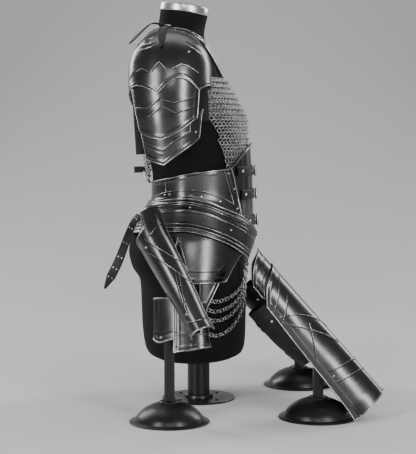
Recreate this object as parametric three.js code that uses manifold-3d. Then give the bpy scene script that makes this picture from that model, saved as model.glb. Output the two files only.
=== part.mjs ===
// Plate armour set worn by a limbless dress form, with its loose limb guards on domed stands.
// Millimetres, +Z up, +X is the way the set faces, -Y is its right side, Z 0 is the floor.
import * as THREE from 'three';
import Module from 'manifold-3d';

const wasm = await Module();
wasm.setup();

// Driving dimensions
const PLATE = 1.8;
const LEATHER = 2.4;
const MAIL = 3;
const SEAM = 0.4;
const ROLL = 1.6;
const STRAP_WIDTH = 19;
const RIGHT = -1;
const LEFT = 1;

const FLANGE = { radius: 76.5, thick: 4, collar: 31, collarHeight: 11 };
const POLE = { radius: 23.5, sides: 28 };
const CAP = { radius: 50, height: 16, dome: 6, lean: 0.14, middle: -30 };
const DOME = { radius: 78.5, lip: 3, cap: 68, height: 39, top: 22, sides: 24 };
const POST = { width: 20 };
const ARM_STAND = { x: -55, y: -233.4, top: 178 };
const LEG_STAND = { x: 238, right: -190, left: 150, leftBack: 15 };

// Cross sections of the dress form from its foot to its neck
const FORM = [
  { z: 96, front: 78, back: -92, half: 130, mid: -14 },
  { z: 104, front: 92, back: -106, half: 148, mid: -14 },
  { z: 120, front: 97, back: -113, half: 156, mid: -14 },
  { z: 160, front: 99, back: -118, half: 160, mid: -14 },
  { z: 235, front: 100, back: -121, half: 163, mid: -14 },
  { z: 255, front: 100, back: -123, half: 164, mid: -14 },
  { z: 285, front: 99, back: -140, half: 165, mid: -14 },
  { z: 313, front: 97, back: -146, half: 163, mid: -14 },
  { z: 340, front: 93, back: -143, half: 157, mid: -14 },
  { z: 365, front: 88, back: -130, half: 147, mid: -14 },
  { z: 395, front: 82, back: -108, half: 132, mid: -14 },
  { z: 437, front: 78, back: -95, half: 118, mid: -14 },
  { z: 475, front: 80, back: -96, half: 121, mid: -14 },
  { z: 510, front: 86, back: -103, half: 127, mid: -14 },
  { z: 545, front: 93, back: -115, half: 134, mid: -15 },
  { z: 588, front: 98, back: -127, half: 143, mid: -18 },
  { z: 626, front: 82, back: -134, half: 150, mid: -26 },
  { z: 672, front: 55, back: -134, half: 160, mid: -38 },
  { z: 705, front: 38, back: -128, half: 166, mid: -44 },
  { z: 733, front: 22, back: -118, half: 146, mid: -46 },
  { z: 752, front: 14, back: -104, half: 100, mid: -42 },
  { z: 766, front: 12, back: -92, half: 66, mid: -37 },
  { z: 785, front: 14, back: -83, half: 52, mid: -32 },
  { z: 810, front: 19, back: -79, half: 49, mid: -30 },
];
const FORM_SIDES = 30;
const FORM_RINGS = [96, 100, 106, 120, 155, 210, 246, 260, 278, 300, 324, 348, 372, 396,
  416, 437, 456, 478, 505, 530, 556, 580, 600, 625, 655, 684, 708, 724, 738, 750, 760, 772, 788, 810];

// Outer sections of the waist and hip plates
const WAIST = [
  { z: 200, front: 112, back: -160, half: 188 },
  { z: 265, front: 113, back: -158, half: 186 },
  { z: 300, front: 116, back: -154, half: 179 },
  { z: 345, front: 119, back: -147, half: 166 },
  { z: 370, front: 120, back: -134, half: 153 },
  { z: 400, front: 118, back: -110, half: 137 },
  { z: 437, front: 117, back: -98.4, half: 121.4 },
  { z: 475, front: 116, back: -99.4, half: 124.4 },
  { z: 500, front: 114, back: -104, half: 128 },
  { z: 530, front: 112, back: -112, half: 134 },
];

// How far the mail stands out from the form
const MAIL_EASE = [
  { z: 455, front: 4.2, back: 10.5, half: 3.9 },
  { z: 480, front: 5, back: 16, half: 4.2 },
  { z: 500, front: 9, back: 15, half: 5 },
  { z: 527, front: 13, back: 11, half: 5.5 },
  { z: 557, front: 10, back: 7, half: 5 },
  { z: 588, front: 6, back: 4.4, half: 4.4 },
  { z: 640, front: 4.2, back: 4.2, half: 4.2 },
  { z: 790, front: 4.2, back: 4.2, half: 4.2 },
];
const MAIL_RISE = 5;
const MAIL_FRONT = [
  { angle: 0, top: 648, bottom: 504 },
  { angle: 14, top: 668, bottom: 492 },
  { angle: 28, top: 672, bottom: 484 },
  { angle: 44, top: 672, bottom: 490 },
  { angle: 50, top: 670, bottom: 507 },
  { angle: 55, top: 666, bottom: 521 },
  { angle: 60, top: 657, bottom: 548 },
  { angle: 66, top: 640, bottom: 574 },
  { angle: 74, top: 614, bottom: 602 },
];
const MAIL_BACK = [
  { angle: 0, top: 790, bottom: 455 },
  { angle: 20, top: 790, bottom: 470 },
  { angle: 32, top: 787, bottom: 540 },
  { angle: 48, top: 772, bottom: 610 },
  { angle: 62, top: 745, bottom: 672 },
];

// Shoulder: the ridge from the neck side over the shoulder and down the arm
const RIDGE = [
  { run: 0, out: 90, z: 773, half: 47, depth: 16, middle: -55 },
  { run: 26, out: 116, z: 771, half: 55, depth: 27, middle: -55 },
  { run: 62, out: 151, z: 765, half: 66, depth: 44, middle: -55 },
  { run: 102, out: 187, z: 747, half: 80, depth: 62, middle: -55 },
  { run: 145, out: 215, z: 714, half: 82, depth: 70, middle: -55 },
  { run: 186, out: 230, z: 676, half: 82, depth: 74, middle: -55 },
  { run: 222, out: 235, z: 640, half: 80, depth: 74, middle: -55 },
  { run: 262, out: 235, z: 600, half: 75, depth: 70, middle: -54 },
  { run: 307, out: 231, z: 555, half: 68, depth: 64, middle: -52 },
  { run: 357, out: 225, z: 505, half: 60, depth: 57, middle: -50 },
  { run: 377, out: 223, z: 485, half: 58, depth: 55, middle: -50 },
];
const SHOULDER_ANGLES = [-104, -90, -75, -60, -45, -30, -16, 0, 14, 29, 44, 60, 75, 90, 104];
const COP_EDGE = [
  { angle: -104, z: 617, arch: 30 },
  { angle: -16, z: 638, arch: 26 },
  { angle: 44, z: 648, arch: 10 },
  { angle: 104, z: 664, arch: 0 },
];
const UPPER_EDGE = [
  { angle: -104, z: 578, arch: -4 },
  { angle: -16, z: 549, arch: -3 },
  { angle: 44, z: 589, arch: 0 },
  { angle: 104, z: 594, arch: 0 },
];
const LOWER_EDGE = [
  { angle: -104, z: 517, arch: 0 },
  { angle: -16, z: 500, arch: 3 },
  { angle: 62, z: 549, arch: 0 },
  { angle: 104, z: 560, arch: 0 },
];
const LAME_OVERLAP = 14;
const UPPER_ANGLES = [-66, -60, -45, -30, -16, 0, 14, 29, 44, 48];
const LOWER_ANGLES = [-66, -60, -45, -30, -16, 0, 14, 29, 44, 62];
const ARM_LEATHERS = [
  {
    name: 'leather_front',
    width: 24,
    path: [[-2, 189.7, 692], [5, 183, 664], [9, 176, 630], [10, 174, 586]],
  },
  {
    name: 'leather_back',
    width: 17,
    path: [[-111, 192.2, 690], [-114, 185, 664], [-119, 181, 632], [-113, 179, 520]],
  },
];

// Waist and hip edges, heights by angle from the front
const SIDE_TOP = [
  { angle: 36, z: 494 },
  { angle: 52, z: 490 },
  { angle: 90, z: 481 },
  { angle: 130, z: 468 },
  { angle: 173, z: 459 },
];
const SIDE_BOTTOM = [
  { angle: 8, z: 344 },
  { angle: 20, z: 356 },
  { angle: 36, z: 378 },
  { angle: 60, z: 400 },
  { angle: 78, z: 415 },
  { angle: 96, z: 422 },
  { angle: 130, z: 416 },
  { angle: 173, z: 407 },
];
const SIDE_FRONT = { top: 51, bottom: 38 };
const BELT_TOP = 9;
const BELT_OUT = 4.4;
const BELT_BOTTOM = [
  { angle: 8, z: 296 },
  { angle: 25, z: 303 },
  { angle: 42, z: 322 },
  { angle: 60, z: 343 },
  { angle: 78, z: 359 },
  { angle: 96, z: 367 },
  { angle: 130, z: 363 },
  { angle: 173, z: 356 },
];
const BELT_FRONT = { top: 9, bottom: 32 };
const PLACKET_TOP = [
  { angle: 0, z: 541 },
  { angle: 20, z: 530 },
  { angle: 56, z: 484 },
];
const PLACKET_BOTTOM = [
  { angle: 0, z: 346 },
  { angle: 26, z: 366 },
  { angle: 46, z: 392 },
];
const HIP = { overlap: 12, bottom: 266, frontTop: 36, frontBottom: 57, backTop: 138, backBottom: 104 };
const HIP_LAME = { overlap: 13, tip: 186, tipAngle: 84, front: 60, back: 101 };
const STRAPS = [
  { name: '1', z: 484, reach: 43 },
  { name: '2', z: 436, reach: 38 },
  { name: '3', z: 381, reach: 31 },
];
const CHAIN = { radius: 2.6, sides: 6, steps: 8, top: 328, end: 268, ease: 8 };
const SWAGS = [226, 206, 187, 157];
const SWAG_PATH = [
  { angle: 26, drop: 0 },
  { angle: 23.5, drop: 0.39 },
  { angle: 28, drop: 0.66 },
  { angle: 38, drop: 0.83 },
  { angle: 51, drop: 0.95 },
  { angle: 66, drop: 1 },
  { angle: 78, drop: 0.92 },
  { angle: 89, drop: 0.76 },
  { angle: 98, drop: 0.6 },
];

// Limb guards: sections along the guard, widths across it
const VAMBRACE = {
  wrist: new THREE.Vector3(11.5, -300, 185),
  elbow: new THREE.Vector3(-96, -165, 395),
  span: 98,
};
const VAMBRACE_ROWS = [
  { along: 0, half: 23, depth: 26, shift: -2 },
  { along: 22, half: 22, depth: 25, shift: -3 },
  { along: 110, half: 26, depth: 28, shift: -6 },
  { along: 200, half: 30, depth: 32, shift: -10 },
  { along: 230, half: 30.5, depth: 33, shift: -11.5 },
  { along: 286, half: 30, depth: 33, shift: -6 },
];
const VAMBRACE_ANGLES = [-98, -94, -78, -58, -38, -20, -9, -3, 14, 32, 50, 68, 84, 94, 98];
const VAMBRACE_ELBOW = [
  { angle: -98, along: 222 },
  { angle: -84, along: 228 },
  { angle: -9, along: 240 },
  { angle: -3, along: 274 },
  { angle: 98, along: 284 },
];
const SECOND = {
  wrist: new THREE.Vector3(-29, -240, 140),
  elbow: new THREE.Vector3(-33, -222, 262),
  span: 96,
  slant: 8,
};
const SECOND_ROWS = [
  { along: 0, half: 33, depth: 58 },
  { along: 16, half: 31, depth: 56 },
  { along: 98, half: 25, depth: 50 },
];
const FLAP = { high: 104, span: 86 };
const FLAP_LOW = [
  { angle: 0, along: 30 },
  { angle: 48, along: 19 },
  { angle: 86, along: 26 },
];
const FLAP_ROWS = [
  { along: 0, half: 29.8, depth: 58 },
  { along: 16, half: 28.4, depth: 58 },
  { along: 98, half: 22.4, depth: 56 },
];
const GREAVE = { ankle: new THREE.Vector3(363, 0, 58), knee: new THREE.Vector3(135, 0, 317), span: 102 };
const GREAVE_ROWS = [
  { along: -8, half: 50, depth: 66, set: -66 },
  { along: 24, half: 44, depth: 62, set: -62 },
  { along: 110, half: 43, depth: 58, set: -58 },
  { along: 230, half: 50, depth: 52, set: -52 },
  { along: 350, half: 50, depth: 46, set: -46 },
];
const GREAVE_TOP = [
  { angle: -102, along: 278 },
  { angle: -70, along: 308 },
  { angle: -30, along: 322 },
  { angle: 0, along: 330 },
  { angle: 30, along: 322 },
  { angle: 70, along: 308 },
  { angle: 102, along: 278 },
];
const CALF = { low: 140, high: 284, span: 84 };
const CALF_ROWS = [
  { along: 140, half: 41.2, depth: 27, set: 62 },
  { along: 215, half: 46.4, depth: 42, set: 58 },
  { along: 284, half: 47.2, depth: 46, set: 55 },
];

// Finishes
const FINISH = {
  steel: { color: 0x3c4043, roughness: 0.28, metalness: 1 },
  bright: { color: 0x9a9d9f, roughness: 0.3, metalness: 1 },
  mail: { color: 0x83878a, roughness: 0.35, metalness: 1 },
  leather: { color: 0x161413, roughness: 0.55, metalness: 0 },
  cloth: { color: 0x0d0d0e, roughness: 0.9, metalness: 0 },
  black: { color: 0x1a1b1d, roughness: 0.4, metalness: 0.6 },
};

const group = new THREE.Group();

function add(name, geometry, finish) {
  const mesh = new THREE.Mesh(geometry, new THREE.MeshStandardMaterial(FINISH[finish]));
  mesh.name = name;
  group.add(mesh);
}

const rad = THREE.MathUtils.degToRad;
const vec = (x, y, z) => new THREE.Vector3(x, y, z);

// A table's column at a value of its key, smooth between rows and never past them
function column(rows, key, name, value) {
  const last = rows.length - 1;
  if (value <= rows[0][key]) return rows[0][name];
  if (value >= rows[last][key]) return rows[last][name];
  let i = 0;
  while (value > rows[i + 1][key]) i += 1;
  const slope = (k) => (rows[k + 1][name] - rows[k][name]) / (rows[k + 1][key] - rows[k][key]);
  const tangent = (k) => {
    if (k === 0) return slope(0);
    if (k === last) return slope(last - 1);
    const before = slope(k - 1);
    const after = slope(k);
    return before * after <= 0 ? 0 : (2 * before * after) / (before + after);
  };
  const span = rows[i + 1][key] - rows[i][key];
  const f = (value - rows[i][key]) / span;
  const g = 1 - f;
  return rows[i][name] * (1 + 2 * f) * g * g + rows[i + 1][name] * f * f * (3 - 2 * f)
    + span * (tangent(i) * f * g * g - tangent(i + 1) * f * f * g);
}

// A scalloped edge: straight between its points, lifted into an arch
function scallop(rows, angle) {
  let i = 0;
  while (i < rows.length - 2 && angle > rows[i + 1].angle) i += 1;
  const f = THREE.MathUtils.clamp((angle - rows[i].angle) / (rows[i + 1].angle - rows[i].angle), 0, 1);
  return THREE.MathUtils.lerp(rows[i].z, rows[i + 1].z, f) + rows[i].arch * Math.sin(Math.PI * f);
}

// Even divisions of 0 to 1, with a narrow first and last one where an edge is rolled
function lines(count, first = 0, last = 0) {
  const even = Array.from({ length: count + 1 }, (_, k) => first + ((1 - first - last) * k) / count);
  const all = first ? [0, ...even] : even;
  return last ? [...all, 1] : all;
}

function facing(positions, index) {
  let volume = 0;
  const corner = (k) => vec(positions[3 * k], positions[3 * k + 1], positions[3 * k + 2]);
  for (let k = 0; k < index.length; k += 3) {
    const a = corner(index[k]);
    volume += a.dot(corner(index[k + 1]).cross(corner(index[k + 2])));
  }
  if (volume < 0) {
    for (let k = 0; k < index.length; k += 3) {
      [index[k + 1], index[k + 2]] = [index[k + 2], index[k + 1]];
    }
  }
  const geometry = new THREE.BufferGeometry();
  geometry.setAttribute('position', new THREE.Float32BufferAttribute(positions, 3));
  geometry.setIndex(index);
  geometry.computeVertexNormals();
  return geometry;
}

// A wall of even thickness under a surface, its rolled edges standing out
function wall({ across, along, surface, outward, thick, roll = '' }) {
  const columns = across.length;
  const rows = along.length;
  const outer = [];
  const inner = [];
  const step = 0.004;
  along.forEach((v, j) => across.forEach((u, i) => {
    const point = surface(u, v);
    const a = THREE.MathUtils.clamp(u, 0.01, 0.99);
    const b = THREE.MathUtils.clamp(v, 0.01, 0.99);
    const du = surface(a + step, b).sub(surface(a - step, b));
    const dv = surface(a, b + step).sub(surface(a, b - step));
    const normal = du.cross(dv).normalize();
    if (normal.dot(outward(point, u, v)) < 0) normal.negate();
    const edge = (roll.includes('t') && j === 0) || (roll.includes('b') && j === rows - 1)
      || (roll.includes('l') && i === 0) || (roll.includes('r') && i === columns - 1);
    outer.push(point.clone().addScaledVector(normal, edge ? ROLL : 0));
    inner.push(point.addScaledVector(normal, -thick));
  }));
  const points = [...outer, ...inner];
  const o = (i, j) => j * columns + i;
  const n = (i, j) => outer.length + o(i, j);
  const index = [];
  const quad = (a, b, c, d) => index.push(a, b, c, a, c, d);
  for (let j = 0; j < rows - 1; j += 1) {
    for (let i = 0; i < columns - 1; i += 1) {
      quad(o(i, j), o(i + 1, j), o(i + 1, j + 1), o(i, j + 1));
      quad(n(i, j), n(i, j + 1), n(i + 1, j + 1), n(i + 1, j));
    }
    quad(o(0, j), o(0, j + 1), n(0, j + 1), n(0, j));
    quad(o(columns - 1, j + 1), o(columns - 1, j), n(columns - 1, j), n(columns - 1, j + 1));
  }
  for (let i = 0; i < columns - 1; i += 1) {
    quad(o(i + 1, 0), o(i, 0), n(i, 0), n(i + 1, 0));
    quad(o(i, rows - 1), o(i + 1, rows - 1), n(i + 1, rows - 1), n(i, rows - 1));
  }
  return facing(points.flatMap((p) => p.toArray()), index);
}

// A strap along a path of points and normals, its end cut to a point if asked
function strap(path, width, steps, tip = false) {
  const narrow = (v) => (tip ? width * Math.min(1, 0.24 + 5 * (1 - v)) : width);
  const surface = (u, v) => {
    const here = path(v);
    const ahead = path(Math.min(v + 0.01, 1)).point.sub(path(Math.max(v - 0.01, 0)).point);
    const side = here.normal.clone().cross(ahead).normalize();
    return here.point.clone().addScaledVector(side, (u - 0.5) * narrow(v));
  };
  return wall({
    across: [0, 1],
    along: tip ? lines(steps, 0, 0.06) : lines(steps),
    surface,
    outward: (point, u, v) => path(v).normal,
    thick: LEATHER,
  });
}

function solid(geometry) {
  const plain = geometry.index ? geometry : facing([...geometry.attributes.position.array],
    [...Array(geometry.attributes.position.count).keys()]);
  const mesh = new wasm.Mesh({
    numProp: 3,
    vertProperties: new Float32Array(plain.attributes.position.array),
    triVerts: new Uint32Array(plain.index.array),
  });
  mesh.merge();
  return new wasm.Manifold(mesh);
}

function geometryOf(manifold) {
  const mesh = manifold.getMesh();
  return facing([...mesh.vertProperties], [...mesh.triVerts]);
}

function turned(profile, sides) {
  const geometry = new THREE.LatheGeometry(profile.map(([r, z]) => new THREE.Vector2(r, z)), sides);
  return geometry.rotateX(Math.PI / 2);
}

// Section point by angle from the front, positive to the left
function section(row, angle) {
  const c = Math.cos(rad(angle));
  const depth = c >= 0 ? row.front - row.mid : row.mid - row.back;
  return { x: row.mid + depth * c, y: row.half * Math.sin(rad(angle)) };
}

function formRow(z) {
  const names = ['front', 'back', 'half', 'mid'];
  return Object.fromEntries(names.map((name) => [name, column(FORM, 'z', name, z)]));
}

function formPoint(angle, z, ease = 0) {
  const row = formRow(z);
  const eased = { ...row, front: row.front + ease, back: row.back - ease, half: row.half + ease };
  const { x, y } = section(eased, angle);
  const lean = THREE.MathUtils.smoothstep(z, 752, 810) * CAP.lean;
  return vec(x, y, z - lean * (x - row.mid));
}

function waistPoint(angle, z, out = 0) {
  const row = { mid: formRow(z).mid };
  ['front', 'back', 'half'].forEach((name) => {
    row[name] = column(WAIST, 'z', name, z) + (name === 'back' ? -out : out);
  });
  const { x, y } = section(row, angle);
  return vec(x, y, z);
}

function mailPoint(angle, z) {
  const rise = THREE.MathUtils.smoothstep(z, 640, 700) * MAIL_RISE;
  return lifted((turn, height) => {
    const row = formRow(height);
    row.front += column(MAIL_EASE, 'z', 'front', height);
    row.back -= column(MAIL_EASE, 'z', 'back', height);
    row.half += column(MAIL_EASE, 'z', 'half', height);
    const { x, y } = section(row, turn);
    const lean = THREE.MathUtils.smoothstep(height, 752, 810) * CAP.lean;
    return vec(x, y, height - lean * (x - row.mid));
  }, angle, z, rise).point;
}

const fromAxis = (point) => vec(point.x + 14, point.y, 0);

// A point moved out from a surface of angle and height, with the surface's own normal
function lifted(surface, angle, z, out) {
  const point = surface(angle, z);
  const around = surface(angle + 0.5, z).sub(surface(angle - 0.5, z));
  const up = surface(angle, z + 0.5).sub(surface(angle, z - 0.5));
  const normal = around.cross(up).normalize();
  if (normal.dot(fromAxis(point)) < 0) normal.negate();
  return { point: point.addScaledVector(normal, out), normal };
}

// Dress form: torso, cap, pole and flange
function form() {
  const positions = [];
  const index = [];
  FORM_RINGS.forEach((z) => {
    for (let k = 0; k < FORM_SIDES; k += 1) {
      positions.push(...formPoint((360 * k) / FORM_SIDES, z).toArray());
    }
  });
  const top = (FORM_RINGS.length - 1) * FORM_SIDES;
  for (let j = 0; j < FORM_RINGS.length - 1; j += 1) {
    for (let k = 0; k < FORM_SIDES; k += 1) {
      const next = (k + 1) % FORM_SIDES;
      const row = j * FORM_SIDES;
      index.push(row + k, row + next, row + FORM_SIDES + next);
      index.push(row + k, row + FORM_SIDES + next, row + FORM_SIDES + k);
    }
  }
  for (let k = 1; k < FORM_SIDES - 1; k += 1) {
    index.push(0, k + 1, k);
    index.push(top, top + k, top + k + 1);
  }
  add('form_torso', facing(positions, index), 'cloth');
  const foot = FORM[0].z - SEAM;
  const flangeTop = FLANGE.thick;
  const flange = turned([[0, 0], [FLANGE.radius, 0], [FLANGE.radius, flangeTop - 1],
    [FLANGE.radius - 1, flangeTop], [FLANGE.collar, flangeTop],
    [FLANGE.collar - 2, FLANGE.collarHeight], [0, FLANGE.collarHeight]], 28);
  add('form_flange', flange, 'black');
  const pole = turned([[0, FLANGE.collarHeight + SEAM], [POLE.radius, FLANGE.collarHeight + SEAM],
    [POLE.radius, foot], [0, foot]], POLE.sides);
  add('form_pole', pole, 'black');
  const cap = turned([[0, 0], [CAP.radius, 0], [CAP.radius + 1, 2], [CAP.radius + 1, CAP.height - 2],
    [CAP.radius - 2, CAP.height], [CAP.radius * 0.5, CAP.height + CAP.dome * 0.75],
    [0, CAP.height + CAP.dome]], 24);
  cap.rotateY(Math.atan(CAP.lean)).translate(CAP.middle, 0, 810 + SEAM);
  add('form_neck_cap', cap, 'bright');
}

// Stands: a domed foot with its post, one piece
function stand(name, x, y, post) {
  const foot = turned([[0, 0], [DOME.radius, 0], [DOME.radius, DOME.lip], [DOME.cap, DOME.lip + 1.5],
    [DOME.cap * 0.94, DOME.height * 0.34], [DOME.cap * 0.8, DOME.height * 0.6],
    [DOME.cap * 0.58, DOME.height * 0.84], [DOME.top, DOME.height], [0, DOME.height]], DOME.sides);
  const whole = solid(foot).add(solid(post));
  add(name, geometryOf(whole.translate([x, y, 0])), 'black');
}

function plainPost(height) {
  const post = new THREE.BoxGeometry(POST.width, POST.width, height - DOME.height + 4);
  return post.translate(0, 0, (height + DOME.height - 4) / 2);
}

// A post whose top is cut along the shin it carries
function slantedPost(guard) {
  const axis = guard.knee.clone().sub(guard.ankle);
  const slope = axis.z / axis.x;
  const seat = guard.ankle.z + (LEG_STAND.x - guard.ankle.x) * slope - 5.9;
  const half = POST.width / 2;
  const outline = new THREE.Shape([
    new THREE.Vector2(-half, DOME.height - 4),
    new THREE.Vector2(half, DOME.height - 4),
    new THREE.Vector2(half, seat + half * slope),
    new THREE.Vector2(-half, seat - half * slope),
  ]);
  const post = new THREE.ExtrudeGeometry(outline, { depth: POST.width, bevelEnabled: false });
  return post.translate(0, 0, -half).rotateX(Math.PI / 2);
}

// Shoulder plates, moved out or in from the ridge surface
function shoulderPoint(side, angle, run, out) {
  const value = (name) => column(RIDGE, 'run', name, run);
  const slope = vec(0, column(RIDGE, 'run', 'out', run + 1) - column(RIDGE, 'run', 'out', run - 1),
    column(RIDGE, 'run', 'z', run + 1) - column(RIDGE, 'run', 'z', run - 1)).normalize();
  const normal = vec(0, -slope.z, slope.y);
  const bend = (value('depth') + out) * (1 - Math.cos(rad(angle)));
  const y = value('out') + normal.y * (out - bend);
  return vec(value('middle') + (value('half') + out) * Math.sin(rad(angle)), side * y,
    value('z') + normal.z * (out - bend));
}

// The run along the ridge at which a height is reached
function runAt(z) {
  let low = 60;
  let high = 377;
  for (let k = 0; k < 30; k += 1) {
    const middle = (low + high) / 2;
    if (column(RIDGE, 'run', 'z', middle) > z) low = middle;
    else high = middle;
  }
  return low;
}

function shoulder(side, letter) {
  const outward = (point) => vec(point.x + 55, point.y - side * 140, Math.max(0, point.z - 690));
  const lame = (name, angles, top, bottom, out, count, roll) => {
    const first = angles[0];
    const span = angles.at(-1) - first;
    add(`pauldron_${letter}_${name}`, wall({
      across: angles.map((angle) => (angle - first) / span),
      along: lines(count, 0, 0.07),
      surface: (u, v) => {
        const angle = first + span * u;
        return shoulderPoint(side, angle, THREE.MathUtils.lerp(top(angle), bottom(angle), v), out);
      },
      outward,
      thick: PLATE,
      roll,
    }), 'steel');
  };
  const step = PLATE + 2 * SEAM;
  const edge = (rows, lift = 0) => (angle) => runAt(scallop(rows, angle) + lift);
  lame('cop', SHOULDER_ANGLES, () => 0, edge(COP_EDGE), 0, 8, 'lrb');
  lame('upper_lame', UPPER_ANGLES, edge(COP_EDGE, LAME_OVERLAP), edge(UPPER_EDGE), -step, 4, 'b');
  lame('lower_lame', LOWER_ANGLES, edge(UPPER_EDGE, LAME_OVERLAP), edge(LOWER_EDGE), -2 * step, 3, 'b');
  ARM_LEATHERS.forEach(({ name, width, path }) => {
    const points = path.map(([x, out, z]) => vec(x, side * out, z));
    const flat = vec(0, side, 0);
    add(`pauldron_${letter}_${name}`, strap(bandPath(points, [flat, flat]), width, 8), 'leather');
  });
}

// Mail: a bib over the bust and a panel down the back
function mail(name, rows, middle, count, courses) {
  const reach = rows.at(-1).angle;
  add(name, wall({
    across: lines(count),
    along: lines(courses),
    surface: (u, v) => {
      const turn = reach * (2 * u - 1);
      const top = column(rows, 'angle', 'top', Math.abs(turn));
      const bottom = column(rows, 'angle', 'bottom', Math.abs(turn));
      return mailPoint(middle + turn, THREE.MathUtils.lerp(top, bottom, v));
    },
    outward: fromAxis,
    thick: MAIL,
  }), 'mail');
}

// Waist and hip plates of one side
function plate(name, side, front, back, top, bottom, out, counts, roll, finish = 'steel') {
  add(name, wall({
    across: lines(counts[0], 0.035, 0.035),
    along: lines(counts[1], 0.08, 0.08),
    surface: (u, v) => {
      const angle = THREE.MathUtils.lerp(front(v), back(v), u);
      const z = THREE.MathUtils.lerp(top(angle), bottom(angle), v);
      return waistPoint(side * angle, z, typeof out === 'function' ? out(z, angle) : out);
    },
    outward: fromAxis,
    thick: PLATE,
    roll,
  }), finish);
}

function waist(side, letter) {
  const between = (a, b) => (v) => THREE.MathUtils.lerp(a, b, v);
  const height = (rows, lift = 0) => (angle) => column(rows, 'angle', 'z', angle) + lift;
  const step = PLATE + 2 * SEAM;
  plate(`corset_${letter}`, side, between(SIDE_FRONT.top, SIDE_FRONT.bottom), () => 173,
    height(SIDE_TOP), height(SIDE_BOTTOM), 0, [12, 3], 'tl');
  plate(`belt_${letter}`, side, between(BELT_FRONT.top, BELT_FRONT.bottom), () => 172,
    height(SIDE_BOTTOM, BELT_TOP), height(BELT_BOTTOM), BELT_OUT, [14, 2], 'tbl');
  const hipTop = height(BELT_BOTTOM, HIP.overlap);
  plate(`hip_plate_${letter}`, side, between(HIP.frontTop, HIP.frontBottom),
    between(HIP.backTop, HIP.backBottom), hipTop, () => HIP.bottom, SEAM, [9, 4], 'b');
  const lameTop = HIP.bottom + HIP_LAME.overlap;
  plate(`hip_lame_${letter}`, side, between(HIP_LAME.front, HIP_LAME.tipAngle - 1.5),
    between(HIP_LAME.back, HIP_LAME.tipAngle + 1.5), () => lameTop, () => HIP_LAME.tip, -step, [6, 4], '');
  const tubes = SWAGS.map((low) => {
    const last = SWAG_PATH.length - 1;
    const points = SWAG_PATH.map(({ angle, drop }, k) => {
      const turn = side * angle;
      if (k === 0) return waistPoint(turn, CHAIN.top, BELT_OUT - PLATE - CHAIN.radius - 2 * SEAM);
      if (k === last) return waistPoint(turn, CHAIN.end, -2 * PLATE - CHAIN.radius - 4 * SEAM);
      return formPoint(turn, CHAIN.top - drop * (CHAIN.top - low), CHAIN.ease);
    });
    const corners = Array.from({ length: CHAIN.sides }, (_, k) => rad((360 * k) / CHAIN.sides));
    const rim = corners.map((a) => new THREE.Vector2(Math.cos(a), Math.sin(a)).multiplyScalar(CHAIN.radius));
    const round = new THREE.Shape(rim);
    const curve = new THREE.CatmullRomCurve3(points);
    return solid(new THREE.ExtrudeGeometry(round, { steps: CHAIN.steps, extrudePath: curve }));
  });
  add(`chains_${letter}`, geometryOf(tubes.reduce((all, tube) => all.add(tube))), 'bright');
}

function placket() {
  const top = (angle) => column(PLACKET_TOP, 'angle', 'z', Math.abs(angle));
  const bottom = (angle) => column(PLACKET_BOTTOM, 'angle', 'z', Math.abs(angle));
  const step = PLATE + 2 * SEAM;
  const reach = (v) => THREE.MathUtils.lerp(56, 46, v);
  add('corset_placket', wall({
    across: lines(14),
    along: lines(5),
    surface: (u, v) => {
      const angle = THREE.MathUtils.lerp(-reach(v), reach(v), u);
      return waistPoint(angle, THREE.MathUtils.lerp(top(angle), bottom(angle), v), -step);
    },
    outward: fromAxis,
    thick: PLATE,
  }), 'steel');
  STRAPS.forEach(({ name, z, reach: end }) => {
    const out = SEAM + LEATHER + 0.8;
    const onto = (angle, height) => waistPoint(angle, height, -step);
    const path = (v) => lifted(onto, THREE.MathUtils.lerp(-end, end, v), z, out);
    add(`front_strap_${name}`, strap(path, STRAP_WIDTH, 10), 'leather');
    const x = path(0.5).point.x + SEAM;
    const outer = new THREE.BoxGeometry(4, 26, 25);
    const hole = new THREE.BoxGeometry(8, 16, 17);
    const frame = solid(outer).subtract(solid(hole)).add(solid(new THREE.BoxGeometry(4, 3, 20)));
    add(`front_buckle_${name}`, geometryOf(frame.translate([x + 2.7, 0, z])), 'bright');
  });
}

// A path through points, its normals blended between them
function bandPath(points, normals) {
  const curve = new THREE.CatmullRomCurve3(points);
  return (v) => {
    const f = v * (normals.length - 1);
    const i = Math.min(Math.floor(f), normals.length - 2);
    return { point: curve.getPoint(v), normal: normals[i].clone().lerp(normals[i + 1], f - i).normalize() };
  };
}

// Back of the waist: closing strap, long tail, short end under the mail
function backStraps() {
  const onBelt = (angle, z) => waistPoint(angle, z, BELT_OUT);
  const closing = (v) => lifted(onBelt, THREE.MathUtils.lerp(162, 198, v), 386, LEATHER + 1.9);
  add('back_strap', strap(closing, STRAP_WIDTH, 8), 'leather');
  const start = lifted(onBelt, -150, 396, LEATHER + 0.4);
  const fall = start.point.clone().add(vec(-26, -8, -14));
  const tail = bandPath([start.point, fall, vec(-164, -72, 300), vec(-193, -70, 242)],
    [start.normal, vec(-0.8, -0.6, 0), vec(-0.3, -1, 0), vec(0, -1, 0)]);
  add('back_strap_tail', strap(tail, STRAP_WIDTH, 9, true), 'leather');
  const root = lifted(mailPoint, -166, 487, LEATHER + 0.1);
  const bend = root.point.clone().add(vec(-6, -3, 0));
  const stub = bandPath([root.point, bend, vec(-133, root.point.y - 5, 486)],
    [root.normal, vec(-0.5, -1, 0), vec(0, -1, 0)]);
  add('mail_strap', strap(stub, 13, 5), 'leather');
}

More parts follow.
